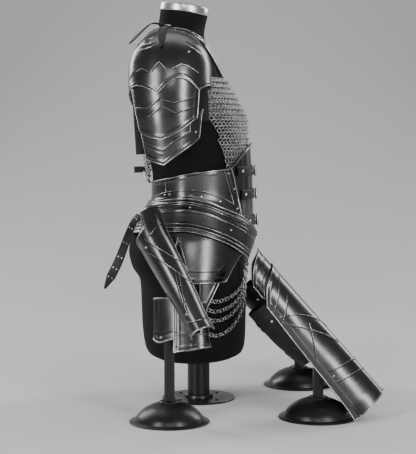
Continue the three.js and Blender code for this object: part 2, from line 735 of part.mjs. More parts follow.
// Neck and shoulder straps
function straps(side, letter) {
  const rows = [
    { v: 0, angle: 20, z: 677 },
    { v: 0.3, angle: 23, z: 712 },
    { v: 0.5, angle: 31, z: 742 },
    { v: 0.63, angle: 54, z: 758 },
    { v: 0.75, angle: 88, z: 765 },
    { v: 0.9, angle: 126, z: 768 },
    { v: 1, angle: 150, z: 770 },
  ];
  const path = (v) => lifted((angle, z) => formPoint(angle, z), side * column(rows, 'v', 'angle', v),
    column(rows, 'v', 'z', v), LEATHER + 3);
  add(`neck_strap_${letter}`, strap(path, 13, 14), 'leather');
  const crest = (angle, run) => shoulderPoint(side, angle, run, LEATHER + 1.7);
  const neckEnd = path(0.82).point.add(vec(0, 0, LEATHER + 0.2));
  const normals = [vec(0, side * 0.3, 1), vec(0, side * 0.1, 1), vec(0, side * 0.15, 1),
    vec(0, side * 0.35, 1), vec(0, side * 0.7, 0.8)];
  const over = bandPath([neckEnd, crest(-12, 4), crest(-12, 40), crest(-11, 84), crest(-10, 128)], normals);
  add(`shoulder_strap_${letter}`, strap(over, 16, 12, true), 'leather');
  const root = over(0.36).point.add(vec(0, 0, LEATHER + SEAM));
  const loose = bandPath([root, root.clone().add(vec(-24, side * 8, 3)), vec(-114, root.y + side * 14, 764),
    vec(-138, root.y + side * 16, 740)], [vec(0, 0, 1), vec(-0.2, 0, 1), vec(-0.6, side * 0.3, 0.8),
    vec(-0.6, side * 0.5, 0.6)]);
  add(`shoulder_tail_${letter}`, strap(loose, 13, 9, true), 'leather');
}

// Limb guards: a bent plate around its own axis
function guardFrame(low, high, towards) {
  const axis = high.clone().sub(low);
  const length = axis.length();
  axis.divideScalar(length);
  const front = towards.clone().addScaledVector(axis, -towards.dot(axis)).normalize();
  return { low, axis, front, side: axis.clone().cross(front), length };
}

function guard(name, frame, rows, span, bottom, top, across, count, roll, finish = 'steel') {
  const moved = (key, along) => (key in rows[0] ? column(rows, 'along', key, along) : 0);
  add(name, wall({
    across,
    along: lines(count, 0.03, 0.03),
    surface: (u, v) => {
      const angle = THREE.MathUtils.lerp(-span, span, u);
      const along = THREE.MathUtils.lerp(bottom(angle), top(angle), v);
      const half = column(rows, 'along', 'half', along);
      const depth = column(rows, 'along', 'depth', along);
      return frame.low.clone().addScaledVector(frame.axis, along)
        .addScaledVector(frame.side, moved('shift', along) + half * Math.sin(rad(angle)))
        .addScaledVector(frame.front, moved('set', along) + depth * Math.cos(rad(angle)));
    },
    outward: (point, u) => {
      const angle = THREE.MathUtils.lerp(-span, span, u);
      const across = frame.side.clone().multiplyScalar(Math.sin(rad(angle)));
      return across.addScaledVector(frame.front, Math.cos(rad(angle)));
    },
    thick: PLATE,
    roll,
  }), finish);
}

function arms() {
  const first = guardFrame(VAMBRACE.wrist, VAMBRACE.elbow, vec(0, -1, 0));
  guard('vambrace_R', first, VAMBRACE_ROWS, VAMBRACE.span, () => 0,
    (angle) => column(VAMBRACE_ELBOW, 'angle', 'along', angle),
    VAMBRACE_ANGLES.map((angle) => 0.5 + angle / (2 * VAMBRACE.span)), 9, 'tblr');
  const second = guardFrame(SECOND.wrist, SECOND.elbow, vec(0.94, -0.33, 0));
  const even = (count) => lines(count, 0.035, 0.035);
  guard('vambrace_L', second, SECOND_ROWS, SECOND.span, (angle) => SECOND.slant * Math.cos(rad(angle)),
    () => 92, even(12), 4, 'tblr');
  const back = { ...second, front: second.front.clone().negate(), side: second.side.clone().negate() };
  guard('vambrace_L_flap', back, FLAP_ROWS, FLAP.span,
    (angle) => column(FLAP_LOW, 'angle', 'along', Math.abs(angle)), () => FLAP.high, even(8), 3, '');
  const held = lifted((angle, z) => waistPoint(angle, z, BELT_OUT), -138, 384, LEATHER - 0.7);
  const inner = (along, deep) => first.low.clone().addScaledVector(first.axis, along)
    .addScaledVector(first.side, -11).addScaledVector(first.front, deep);
  const bed = column(VAMBRACE_ROWS, 'along', 'depth', 230) - PLATE - 1.6;
  const outside = held.point.clone().add(vec(-14, -24, 6));
  const hanger = bandPath([held.point, outside, inner(262, bed - 20), inner(222, bed - 1.3)],
    [held.normal, held.normal, first.front, first.front]);
  add('vambrace_R_hanger', strap(hanger, STRAP_WIDTH, 9), 'leather');
}

function legs(letter, y, back) {
  const shift = vec(-back, y, 0);
  const frame = guardFrame(GREAVE.ankle.clone().add(shift), GREAVE.knee.clone().add(shift), vec(1, 0, 0.9));
  guard(`greave_${letter}`, frame, GREAVE_ROWS, GREAVE.span, () => -4,
    (angle) => column(GREAVE_TOP, 'angle', 'along', angle), lines(11, 0.035, 0.035), 8, 'tblr');
  const behind = { ...frame, front: frame.front.clone().negate(), side: frame.side.clone().negate() };
  guard(`calf_plate_${letter}`, behind, CALF_ROWS, CALF.span, () => CALF.low, () => CALF.high,
    lines(8, 0.035, 0.035), 3, '', 'leather');
}

form();
stand('stand_arm', ARM_STAND.x, ARM_STAND.y, plainPost(ARM_STAND.top));
stand('stand_leg_R', LEG_STAND.x, LEG_STAND.right, slantedPost(GREAVE));
stand('stand_leg_L', LEG_STAND.x - LEG_STAND.leftBack, LEG_STAND.left, slantedPost(GREAVE));
[[RIGHT, 'R'], [LEFT, 'L']].forEach(([side, letter]) => {
  shoulder(side, letter);
  waist(side, letter);
  straps(side, letter);
});
mail('mail_front', MAIL_FRONT, 0, 22, 8);
mail('mail_back', MAIL_BACK, 180, 14, 11);
backStraps();
placket();
arms();
legs('R', LEG_STAND.right, 0);
legs('L', LEG_STAND.left, LEG_STAND.leftBack);

export default group;
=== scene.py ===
"""Looks of a suit of plate armour on a dress form, with its stands, light and camera.

Lengths are millimetres until a mesh is made. +X is the way the set faces, -Y is its right side.
"""

import math

import bpy
import numpy as np
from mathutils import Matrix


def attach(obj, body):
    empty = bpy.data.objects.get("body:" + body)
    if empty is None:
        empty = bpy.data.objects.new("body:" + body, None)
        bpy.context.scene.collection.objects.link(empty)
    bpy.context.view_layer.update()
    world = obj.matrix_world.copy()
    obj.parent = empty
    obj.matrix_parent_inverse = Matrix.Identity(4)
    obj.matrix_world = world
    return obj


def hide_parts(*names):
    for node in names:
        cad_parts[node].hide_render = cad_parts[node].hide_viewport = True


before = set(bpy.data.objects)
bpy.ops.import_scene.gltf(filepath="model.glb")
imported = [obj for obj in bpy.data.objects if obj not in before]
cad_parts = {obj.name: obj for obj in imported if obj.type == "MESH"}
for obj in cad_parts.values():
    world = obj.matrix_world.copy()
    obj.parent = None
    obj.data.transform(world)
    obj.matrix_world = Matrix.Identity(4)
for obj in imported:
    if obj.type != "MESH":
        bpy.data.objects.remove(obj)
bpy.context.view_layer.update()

MM = 0.001
PLATE = 1.8
LEATHER = 2.4
SEAM = 0.4
STEP = PLATE + 2 * SEAM
STRAP_WIDTH = 19
SIDES = {"R": -1, "L": 1}
UP = np.array([0.0, 0.0, 1.0])

# The body's middle lies behind the pole, and its neck leans back between two heights
BODY_MID = -14
NECK_LEAN, NECK_LOW, NECK_TOP = 0.14, 752, 810
SHOULDER_MID = -55
COP_TURN = 104

# Millimetres to a degree, round the waist and round a limb guard
WAIST_ARC, GUARD_ARC = 2.3, 0.75

# Ring mail: spacing along and between rows, then each ring
RING_PITCH, RING_DROP, RING_RADIUS, RING_WIRE, RING_LEAN = 10.0, 6.3, 5.2, 0.95, 0.4
# Chain: spacing, then each link
LINK_PITCH, LINK_LONG, LINK_WIDE, LINK_WIRE, LINK_TURN = 7.8, 5.0, 3.3, 0.9, 0.13 * np.pi
# Chased lines: the bright line, then a black tube beside it that is painted shade, standing for the
# line's shadow
LINE_RADIUS, SHADE_TUBE_RADIUS, SHADE_TUBE_OFF = 0.8, 1.0, 1.9
# A plate is taken to show in the side view where its normal has this much of Y
SHOWS, HIDDEN = 0.15, 1e6

# Shin guards: ankle and knee as forward and height, each leg's shift forward and place sideways
ANKLE, KNEE = (363, 58), (135, 317)
LEGS = {"R": (0, -190), "L": (-15, 150)}
LEG_STAND, SEAT_DROP = 238, 5.9

# Finishes, by number
STEEL, BRIGHT, EDGE, MAIL, HIDE, CLOTH, PAINT, CAP_STEEL = range(8)


class Track:
    """A column over its key, smooth between rows and never past them."""

    def __init__(self, keys, values):
        self.keys = np.array(keys, float)
        self.values = np.array(values, float)
        slope = np.diff(self.values) / np.diff(self.keys)
        tangent = np.append(slope, slope[-1])
        before, after = slope[:-1], slope[1:]
        total = np.where(before + after == 0, 1, before + after)
        tangent[1:-1] = np.where(before * after <= 0, 0, 2 * before * after / total)
        self.tangent = tangent

    def __call__(self, value):
        x = np.clip(np.asarray(value, float), self.keys[0], self.keys[-1])
        i = np.clip(np.searchsorted(self.keys, x, side="right") - 1, 0, len(self.keys) - 2)
        span = self.keys[i + 1] - self.keys[i]
        f = (x - self.keys[i]) / span
        g = 1 - f
        ends = self.values[i] * (1 + 2 * f) * g * g + self.values[i + 1] * f * f * (3 - 2 * f)
        return ends + span * (self.tangent[i] * f * g * g - self.tangent[i + 1] * f * f * g)


def table(names, rows):
    """The named columns of some rows, each a Track over the first column."""
    keys = [row[0] for row in rows]
    return {n: Track(keys, [row[k + 1] for row in rows]) for k, n in enumerate(names.split()[1:])}


def curve(*rows):
    """One Track through pairs of key and value."""
    return table("key value", rows)["value"]


FORM = table("z front back half mid", [
    (96, 78, -92, 130, -14), (104, 92, -106, 148, -14), (120, 97, -113, 156, -14),
    (160, 99, -118, 160, -14), (235, 100, -121, 163, -14), (255, 100, -123, 164, -14),
    (285, 99, -140, 165, -14), (313, 97, -146, 163, -14), (340, 93, -143, 157, -14),
    (365, 88, -130, 147, -14), (395, 82, -108, 132, -14), (437, 78, -95, 118, -14),
    (475, 80, -96, 121, -14), (510, 86, -103, 127, -14), (545, 93, -115, 134, -15),
    (588, 98, -127, 143, -18), (626, 82, -134, 150, -26), (672, 55, -134, 160, -38),
    (705, 38, -128, 166, -44), (733, 22, -118, 146, -46), (752, 14, -104, 100, -42),
    (766, 12, -92, 66, -37), (785, 14, -83, 52, -32), (810, 19, -79, 49, -30),
])
WAIST = table("z front back half", [
    (200, 112, -160, 188), (265, 113, -158, 186), (300, 116, -154, 179), (345, 119, -147, 166),
    (370, 120, -134, 153), (400, 118, -110, 137), (437, 117, -98.4, 121.4),
    (475, 116, -99.4, 124.4), (500, 114, -104, 128), (530, 112, -112, 134),
])
MAIL_EASE = table("z front back half", [
    (455, 4.2, 10.5, 3.9), (480, 5, 16, 4.2), (500, 9, 15, 5), (527, 13, 11, 5.5),
    (557, 10, 7, 5), (588, 6, 4.4, 4.4), (640, 4.2, 4.2, 4.2), (790, 4.2, 4.2, 4.2),
])
MAIL_FRONT = table("angle top bottom", [
    (0, 648, 504), (14, 668, 492), (28, 672, 484), (44, 672, 490), (50, 670, 507),
    (55, 666, 521), (60, 657, 548), (66, 640, 574), (74, 614, 602),
])
MAIL_BACK = table("turn top bottom", [
    (0, 790, 455), (20, 790, 470), (32, 787, 540), (48, 772, 610), (62, 745, 672),
])
RIDGE = table("run out z half depth middle", [
    (0, 90, 773, 47, 16, -55), (26, 116, 771, 55, 27, -55), (62, 151, 765, 66, 44, -55),
    (102, 187, 747, 80, 62, -55), (145, 215, 714, 82, 70, -55), (186, 230, 676, 82, 74, -55),
    (222, 235, 640, 80, 74, -55), (262, 235, 600, 75, 70, -54), (307, 231, 555, 68, 64, -52),
    (357, 225, 505, 60, 57, -50), (377, 223, 485, 58, 55, -50),
])
COP_EDGE = [(-104, 617, 30), (-16, 638, 26), (44, 648, 10), (104, 664, 0)]
UPPER_EDGE = [(-104, 578, -4), (-16, 549, -3), (44, 589, 0), (104, 594, 0)]
LOWER_EDGE = [(-104, 517, 0), (-16, 500, 3), (62, 549, 0), (104, 560, 0)]
# Heights of the waist plates' edges, by angle from the front
SIDE_TOP = curve((36, 494), (52, 490), (90, 481), (130, 468), (173, 459))
SIDE_BOTTOM = curve(
    (8, 344), (20, 356), (36, 378), (60, 400), (78, 415), (96, 422), (130, 416), (173, 407))
BELT_BOTTOM = curve(
    (8, 296), (25, 303), (42, 322), (60, 343), (78, 359), (96, 367), (130, 363), (173, 356))
PLACKET_TOP = curve((0, 541), (20, 530), (56, 484))
PLACKET_BOTTOM = curve((0, 346), (26, 366), (46, 392))
# A swag of chain: angle from the front, then its share of the fall
SWAG_PATH = [
    (26, 0), (23.5, 0.39), (28, 0.66), (38, 0.83), (51, 0.95), (66, 1), (78, 0.92), (89, 0.76), (98, 0.6),
]
# The lowest height of each swag, then the heights of their two ends
SWAGS = (226, 206, 187, 157)
SWAG_TOP, SWAG_END = 328, 268
BELT_OUT = 4.4

# Chased lines of the plates, as they run across the side view: forward, then height
COP_LINES = [
    [(-117, 737), (-102, 744), (-82, 749)],
    [(-114, 729), (-100, 735), (-84, 739)],
    [(-111, 722), (-98, 727), (-88, 730)],
    [(-22, 741), (-8, 734), (6, 723)],
    [(-20, 732), (-7, 726), (5, 716)],
    [(-118, 681), (-107, 687), (-94, 678)],
    [(-90, 679), (-75, 700), (-61, 686)],
    [(-48, 687), (-32, 695), (-17, 691), (2, 678)],
    [(-133, 668), (-126, 681)],
]
UPPER_LINES = [
    [(-121, 611), (-96, 610), (-75, 628)],
    [(-66, 626), (-45, 620), (-7, 632)],
    [(-96, 593), (-74, 610)],
    [(-64, 612), (-44, 601), (-7, 613)],
]
LOWER_LINES = [
    [(-116, 550), (-67, 529), (-46, 546), (-14, 566), (-14, 594)],
    [(-110, 540), (-66, 520)],
]
CORSET_LINES = [
    [(-96, 430), (-70, 441), (-40, 447), (-14, 448), (16, 444), (54, 429), (74, 416)],
    [(-66, 464), (-66, 444)],
    [(53, 486), (73, 418)],
]
HIP_LINES = [
    [(-40, 356), (-34, 338), (-28, 318), (-21, 292)],
    [(-40, 356), (-46, 330), (-44, 300)],
    [(-60, 291), (40, 289), (52, 300)],
]
ARM_LINES = [
    [(-98, 361), (-71, 389)],
    [(-103, 356), (-62, 333), (-20, 307)],
    [(-105, 335), (-70, 318), (-43, 300), (1, 267)],
    [(-36, 294), (-28, 258), (-16, 223)],
    [(-44, 298), (-34, 262), (-20, 224)],
    [(-19, 206), (20, 216)],
]
# Chased lines of a shin guard: angle from its middle, then distance from the ankle
SHIN_LINES = [
    [(15, 311), (102, 258)],
    [(47, 268), (97, 234)],
    [(95, 233), (70, 203), (16, 129)],
    [(80, 240), (63, 231), (30, 200), (0, 166)],
    [(51, 198), (93, 129)],
    [(84, 104), (72, 97), (0, 80)],
    [(96, 82), (72, 72), (0, 54)],
]


def unit(v):
    return v / np.maximum(np.linalg.norm(v, axis=-1, keepdims=True), 1e-9)


def mix(a, b, f):
    return a + (b - a) * f


def level(value):
    """An edge that stays at one value."""
    return lambda key: value + 0 * key


def slant(first, last):
    """An edge that goes evenly from one value to another."""
    return lambda v: mix(first, last, v)


def smooth(value, low, high):
    f = np.clip((value - low) / (high - low), 0, 1)
    return f * f * (3 - 2 * f)


def at(x, y, z):
    return np.stack(np.broadcast_arrays(x, y, z), -1).astype(float)


def lengths(path):
    """How far along a path each of its points is."""
    return np.concatenate([[0], np.cumsum(np.linalg.norm(np.diff(path, axis=0), axis=1))])


def squared(wave):
    """A sine or cosine pushed out, so that a circle becomes a square with round corners."""
    return np.sign(wave) * np.abs(wave) ** 0.45


def section(rows, angle, z, ahead, behind, beside):
    """Forward and sideways place on a body section let out a little, by angle from the front."""
    mid = FORM["mid"](z)
    c = np.cos(np.radians(angle))
    depth = np.where(c >= 0, rows["front"](z) + ahead - mid, mid - (rows["back"](z) - behind))
    return mid + depth * c, (rows["half"](z) + beside) * np.sin(np.radians(angle))


def leaned(x, y, z):
    return at(x, y, z - smooth(z, NECK_LOW, NECK_TOP) * NECK_LEAN * (x - FORM["mid"](z)))


def form_point(angle, z, ease=0):
    return leaned(*section(FORM, angle, z, ease, ease, ease), z)


def waist_point(angle, z, out=0):
    return at(*section(WAIST, angle, z, out, out, out), z)


def belt_point(angle, z):
    return waist_point(angle, z, BELT_OUT)


def mail_base(angle, z):
    eases = (MAIL_EASE[name](z) for name in ("front", "back", "half"))
    return leaned(*section(FORM, angle, z, *eases), z)


def lifted(surface, angle, z, out):
    """A point moved out from a surface of angle and height, with the surface's own normal."""
    angle, z = np.asarray(angle, float), np.asarray(z, float)
    point = surface(angle, z)
    around = surface(angle + 0.5, z) - surface(angle - 0.5, z)
    rise = surface(angle, z + 0.5) - surface(angle, z - 0.5)
    normal = unit(np.cross(around, rise))
    away = normal[..., 0] * (point[..., 0] - BODY_MID) + normal[..., 1] * point[..., 1]
    normal = np.where((away < 0)[..., None], -normal, normal)
    return point + normal * np.asarray(out, float)[..., None], normal


def mail_point(angle, z, out=0):
    return lifted(mail_base, angle, z, smooth(np.asarray(z, float), 640, 700) * 5 + out)


def shoulder_point(side, angle, run, out):
    along = RIDGE["out"](run + 1) - RIDGE["out"](run - 1)
    fall = RIDGE["z"](run + 1) - RIDGE["z"](run - 1)
    size = np.hypot(along, fall)
    bend = (RIDGE["depth"](run) + out) * (1 - np.cos(np.radians(angle)))
    y = RIDGE["out"](run) - fall / size * (out - bend)
    x = RIDGE["middle"](run) + (RIDGE["half"](run) + out) * np.sin(np.radians(angle))
    return at(x, side * y, RIDGE["z"](run) + along / size * (out - bend))


def run_at(z):
    """The run along the shoulder ridge at which a height is reached."""
    runs = np.linspace(60, 377, 600)
    return np.interp(-np.asarray(z, float), -RIDGE["z"](runs), runs)


def scallop(rows, angle):
    """A scalloped edge's height: straight between its points, lifted into an arch."""
    angle = np.asarray(angle, float)
    keys = np.array([row[0] for row in rows], float)
    i = np.clip(np.searchsorted(keys, angle, side="right") - 1, 0, len(rows) - 2)
    f = np.clip((angle - keys[i]) / (keys[i + 1] - keys[i]), 0, 1)
    heights = np.array([row[1] for row in rows], float)
    arches = np.array([row[2] for row in rows], float)
    return mix(heights[i], heights[i + 1], f) + arches[i] * np.sin(np.pi * f)


# Embossing
def distance(across, along, line):
    """How far each point is from a line, in the plane of across and along."""
    points = np.stack([across, along], -1)
    best = np.full(across.shape, 1e9)
    line = np.array(line, float)
    for a, b in zip(line, line[1:]):
        span = b - a
        f = np.clip(((points - a) @ span) / max(span @ span, 1e-9), 0, 1)
        best = np.minimum(best, np.linalg.norm(points - a - f[..., None] * span, axis=-1))
    return best


def ridge(off, width, height):
    return height * np.exp(-(off / width) ** 2)


def embossed(across, along, lines, width, height):
    relief = np.zeros(across.shape)
    for line in lines:
        relief = np.maximum(relief, ridge(distance(across, along, line), width, height))
    return relief


# Meshes
def placed(name, data):
    obj = bpy.data.objects.new(name, data)
    bpy.context.scene.collection.objects.link(obj)
    return obj


class Piece:
    """Points and faces gathered under one name, with a finish for each face."""

    def __init__(self):
        self.points, self.faces, self.finish, self.count = [], [], [], 0

    def add(self, points, faces, finish):
        points = np.asarray(points, float).reshape(-1, 3)
        faces = np.asarray(faces, int)
        self.points.append(points)
        self.faces.extend((faces + self.count).tolist())
        self.finish.extend([finish] * len(faces))
        self.count += len(points)

    def make(self, name, nodes, slot):
        """The object itself, in place of the named solids of the part."""
        mesh = bpy.data.meshes.new(name)
        mesh.from_pydata((np.concatenate(self.points) * MM).tolist(), [], self.faces)
        used = sorted(set(self.finish))
        for finish in used:
            mesh.materials.append(MATERIALS[finish])
        mesh.polygons.foreach_set("material_index", [used.index(f) for f in self.finish])
        mesh.polygons.foreach_set("use_smooth", [True] * len(self.faces))
        mesh.update()
        obj = placed(name, mesh)
        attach(obj, "root")
        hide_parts(*nodes)


def grid_faces(rows, cols, wrap=False):
    index = np.arange(rows * cols).reshape(rows, cols)
    if wrap:
        index = np.concatenate([index, index[:, :1]], 1)
    corners = [index[:-1, :-1], index[:-1, 1:], index[1:, 1:], index[1:, :-1]]
    return np.stack(corners, -1).reshape(-1, 4)


def close_end(piece, ring, middle, order, finish):
    """A flat fan from a ring of points to its middle."""
    sides = len(ring)
    fan = np.array([[k, (k + 1) % sides, sides] for k in range(sides)])
    piece.add(np.concatenate([ring, [middle]]), fan[:, ::order], finish)


def tube(piece, path, normals, radius, finish, sides=8):
    """A round bead along a path, turned by its normals."""
    ahead = unit(np.gradient(path, axis=0))
    normals = unit(normals - ahead * np.sum(normals * ahead, -1, keepdims=True))
    beside = np.cross(ahead, normals)
    turn = np.linspace(0, 2 * np.pi, sides, endpoint=False)
    around = np.cos(turn)[:, None, None] * normals + np.sin(turn)[:, None, None] * beside
    points = (path + radius * around).transpose(1, 0, 2)
    piece.add(points, grid_faces(len(path), sides, wrap=True)[:, ::-1], finish)
    close_end(piece, points[0], path[0], 1, finish)
    close_end(piece, points[-1], path[-1], -1, finish)


def shell(piece, grid, outward, relief, finish, rolls, bead=1.35):
    """A wall under a surface, raised by its relief, with beads along its rolled edges."""
    normal = unit(np.cross(np.gradient(grid, axis=1), np.gradient(grid, axis=0)))
    flip = np.sum(normal * outward) < 0
    if flip:
        normal = -normal
    outer = grid + normal * relief[..., None]
    inner = grid - normal * PLATE
    rows, cols = grid.shape[:2]
    faces = grid_faces(rows, cols)
    order = -1 if flip else 1
    piece.add(outer, faces[:, ::order], finish)
    piece.add(inner, faces[:, ::-order], finish)
    index = np.arange(rows * cols).reshape(rows, cols)
    ring = np.concatenate([index[0], index[1:, -1], index[-1, -2::-1], index[-2:0:-1, 0]])
    rim = np.concatenate([outer.reshape(-1, 3)[ring], inner.reshape(-1, 3)[ring]])
    near = np.arange(len(ring))
    after = np.roll(near, -1)
    strip = np.stack([after, near, near + len(ring), after + len(ring)], -1)
    piece.add(rim, strip[:, ::order], finish)
    edges = {"t": np.s_[0], "b": np.s_[-1], "l": np.s_[:, 0], "r": np.s_[:, -1]}
    for letter in rolls:
        where = edges[letter]
        tube(piece, grid[where] + normal[where] * 0.5, normal[where], bead, EDGE)
    return outer, normal


def rivet(piece, point, normal, radius=2.7, height=1.9, finish=BRIGHT, sides=10):
    """A domed rivet head."""
    normal = unit(np.asarray(normal, float))
    beside = unit(np.cross(normal, [0.31, 0.2, 0.93]))
    other = np.cross(normal, beside)
    turn = np.linspace(0, 2 * np.pi, sides, endpoint=False)
    courses = []
    for lift in (-0.15, 0.25, 0.55, 0.8):
        reach = radius * math.sqrt(max(0.0, 1 - max(lift, 0) ** 2))
        ring = np.cos(turn)[:, None] * beside + np.sin(turn)[:, None] * other
        courses.append(point + reach * ring + normal * (lift * height))
    points = np.concatenate(courses + [[point + normal * height]])
    last = 3 * sides
    fan = [[last + k, last + (k + 1) % sides, 4 * sides] for k in range(sides)]
    piece.add(points, grid_faces(4, sides, wrap=True), finish)
    piece.add(points, fan, finish)


def row_of_rivets(piece, points, normals, places, radius, height):
    for k in places:
        rivet(piece, points[k], normals[k], radius, height)


def nearest(outer, normal, forward, height):
    """The grid place that shows at a place in the side view, and how far off it is, squared."""
    hidden = np.where(np.abs(normal[..., 1]) < SHOWS, HIDDEN, 0)
    off = (outer[..., 0] - forward) ** 2 + (outer[..., 2] - height) ** 2 + hidden
    where = np.unravel_index(np.argmin(off), off.shape)
    return where, off[where]


def rivets(piece, outer, normal, places):
    for forward, height in places:
        where, _ = nearest(outer, normal, forward, height)
        rivet(piece, outer[where], normal[where])


def traced(piece, outer, normal, lines):
    """Thin chased lines, laid on a plate where they show in the side view."""
    spacing, furthest, share = 2.5, 9, 0.7
    down, right = np.gradient(outer, axis=0), np.gradient(outer, axis=1)
    for line in lines:
        line = np.array(line, float)
        length = lengths(line)
        stops = np.linspace(0, length[-1], max(4, int(length[-1] / spacing)))
        path, away = [], []
        for stop in stops:
            forward = np.interp(stop, length, line[:, 0])
            height = np.interp(stop, length, line[:, 1])
            where, off = nearest(outer, normal, forward, height)
            if off > furthest:
                continue
            here, a, b = outer[where], right[where], down[where]
            slopes = np.array([[a[0], b[0]], [a[2], b[2]]])
            wanted = np.array([forward - here[0], height - here[2]])
            steps = np.clip(np.linalg.lstsq(slopes, wanted, rcond=None)[0], -share, share)
            path.append(here + a * steps[0] + b * steps[1])
            away.append(normal[where])
        if len(path) > 3:
            scored(piece, np.array(path), np.array(away))


def scored(piece, path, normals):
    """A thin chased line along a path, with a black tube below it as painted shade for its shadow."""
    beside = unit(np.cross(normals, np.gradient(path, axis=0)))
    beside = beside * np.where(beside[:, 2:] > 0, -1, 1)
    tube(piece, path + normals * 0.15, normals, LINE_RADIUS, EDGE, 6)
    # The black-paint tube just below the line is painted shade for the raised line's shadow, not a real
    # groove
    tube(piece, path + beside * SHADE_TUBE_OFF - normals * 0.35, normals, SHADE_TUBE_RADIUS, PAINT, 5)


def band(piece, points, normals, width, tip=False):
    """A strap with eased edges; its outer face follows the points."""
    count = len(points)
    ahead = unit(np.gradient(points, axis=0))
    across = unit(np.cross(normals, ahead))
    v = np.linspace(0, 1, count)
    widths = width * np.minimum(1, 0.24 + 5 * (1 - v)) if tip else np.full(count, float(width))
    # The strap's outline: which side, how far in from its edge, and the share of its thickness
    outline = [(-1, 0, -0.7), (-1, 0, -0.3), (-1, 0.5, -0.06), (-1, 1.8, 0), (0, 0, 0.06), (1, 1.8, 0),
               (1, 0.5, -0.06), (1, 0, -0.3), (1, 0, -0.7), (1, 0.8, -1), (-1, 0.8, -1)]
    rows = []
    for side, inset, depth in outline:
        reach = side * (widths / 2 - np.minimum(inset, widths * 0.3)) if side else np.zeros(count)
        rows.append(points + across * reach[:, None] + normals * (depth * LEATHER))
    cross = np.stack(rows, 1)
    piece.add(cross, grid_faces(count, len(outline), wrap=True), HIDE)
    close_end(piece, cross[0], cross[0].mean(0), -1, HIDE)
    close_end(piece, cross[-1], cross[-1].mean(0), 1, HIDE)
    return across


def leather(piece, node):
    piece.make(node + "_leather", [node], "black_leather")


def wires(piece, lines, away):
    """Bright wires of a buckle, each a line, its radius and its sides."""
    for line, radius, sides in lines:
        tube(piece, line, np.tile(away, (len(line), 1)), radius, BRIGHT, sides)


def through(points, count):
    """A smooth path through points, as a Catmull-Rom spline."""
    p = np.array(points, float)
    p = np.concatenate([[2 * p[0] - p[1]], p, [2 * p[-1] - p[-2]]])
    path = []
    for v in np.linspace(0, len(points) - 1, count):
        i = min(int(v), len(points) - 2)
        f = v - i
        a, b, c, d = p[i:i + 4]
        path.append(0.5 * (2 * b + (c - a) * f + (2 * a - 5 * b + 4 * c - d) * f * f
                           + (3 * b - a - 3 * c + d) * f ** 3))
    return np.array(path)


def blended(normals, count):
    n = np.array(normals, float)
    v = np.linspace(0, len(n) - 1, count)
    i = np.minimum(v.astype(int), len(n) - 2)
    return unit(mix(n[i], n[i + 1], (v - i)[:, None]))


def turned(piece, profile, centre, finish, sides=64, lean=0.0):
    """A turned solid about an upright axis, its corners kept where the profile bends."""
    turn = np.linspace(0, 2 * np.pi, sides, endpoint=False)
    profile = np.array(profile, float)
    runs, run = [], [profile[0], profile[1]]
    for a, b, c in zip(profile, profile[1:], profile[2:]):
        bend = unit(b - a) @ unit(c - b)
        if bend < 0.75:
            runs.append(run)
            run = [b]
        run.append(c)
    runs.append(run)
    cos, sin = math.cos(lean), math.sin(lean)
    for run in runs:
        run = np.array(run)
        x = run[:, :1] * np.cos(turn)
        y = run[:, :1] * np.sin(turn)
        z = run[:, 1:] + 0 * turn
        points = at(x * cos + z * sin, y, z * cos - x * sin) + np.array(centre)
        piece.add(points, grid_faces(len(run), sides, wrap=True), finish)


def rings(piece, centres, along, across, normal, half_along, half_across, wire, steps, sides):
    """Closed wire rings: each an oval in the plane of its along and across directions."""
    a = np.linspace(0, 2 * np.pi, steps, endpoint=False)
    b = np.linspace(0, 2 * np.pi, sides, endpoint=False)
    ca, sa = np.cos(a)[:, None], np.sin(a)[:, None]
    cb, sb = np.cos(b)[None], np.sin(b)[None]
    u = (half_along + wire * cb) * ca
    v = (half_across + wire * cb) * sa
    w = wire * sb + 0 * ca
    points = (centres[:, None, None] + u[None, ..., None] * along[:, None, None]
              + v[None, ..., None] * across[:, None, None] + w[None, ..., None] * normal[:, None, None])
    index = np.arange(steps * sides).reshape(steps, sides)
    after = np.roll(index, -1, 0)
    one = np.stack([index, after, np.roll(after, -1, 1), np.roll(index, -1, 1)], -1).reshape(-1, 4)
    faces = (one[None] + (np.arange(len(centres)) * steps * sides)[:, None, None]).reshape(-1, 4)
    piece.add(points, faces, MAIL)


# Materials
def node_of(nodes, kind, values):
    """A new shader node with some of its inputs set."""
    node = nodes.new(kind)
    for name, value in values.items():
        node.inputs[name].default_value = value
    return node


def finish_of(name, colour, metal, rough, spread, scale, bump=0.0, bump_scale=300.0, gloss=0.5,
              stretch=None):
    """A grey finish whose roughness wanders, with a fine grain where bump is given."""
    material = bpy.data.materials.new(name)
    material.use_nodes = True
    nodes, links = material.node_tree.nodes, material.node_tree.links
    shader = nodes["Principled BSDF"]
    shader.inputs["Base Color"].default_value = (colour, colour, colour * 1.015, 1)
    shader.inputs["Metallic"].default_value = metal
    shader.inputs["Specular IOR Level"].default_value = gloss
    source = nodes.new("ShaderNodeTexCoord").outputs["Object"]
    if stretch:
        mapping = node_of(nodes, "ShaderNodeMapping", {"Scale": stretch})
        links.new(source, mapping.inputs["Vector"])
        source = mapping.outputs["Vector"]
    noise = node_of(nodes, "ShaderNodeTexNoise", {"Scale": scale, "Detail": 5})
    links.new(source, noise.inputs["Vector"])
    spreader = node_of(nodes, "ShaderNodeMapRange", {
        "From Min": 0.3, "From Max": 0.7, "To Min": rough - spread, "To Max": rough + spread})
    links.new(noise.outputs["Fac"], spreader.inputs["Value"])
    links.new(spreader.outputs["Result"], shader.inputs["Roughness"])
    if bump:
        grain = node_of(nodes, "ShaderNodeTexNoise", {"Scale": bump_scale, "Detail": 3})
        links.new(source, grain.inputs["Vector"])
        lump = node_of(nodes, "ShaderNodeBump", {"Strength": bump, "Distance": 0.001})
        links.new(grain.outputs["Fac"], lump.inputs["Height"])
        links.new(lump.outputs["Normal"], shader.inputs["Normal"])
    return material


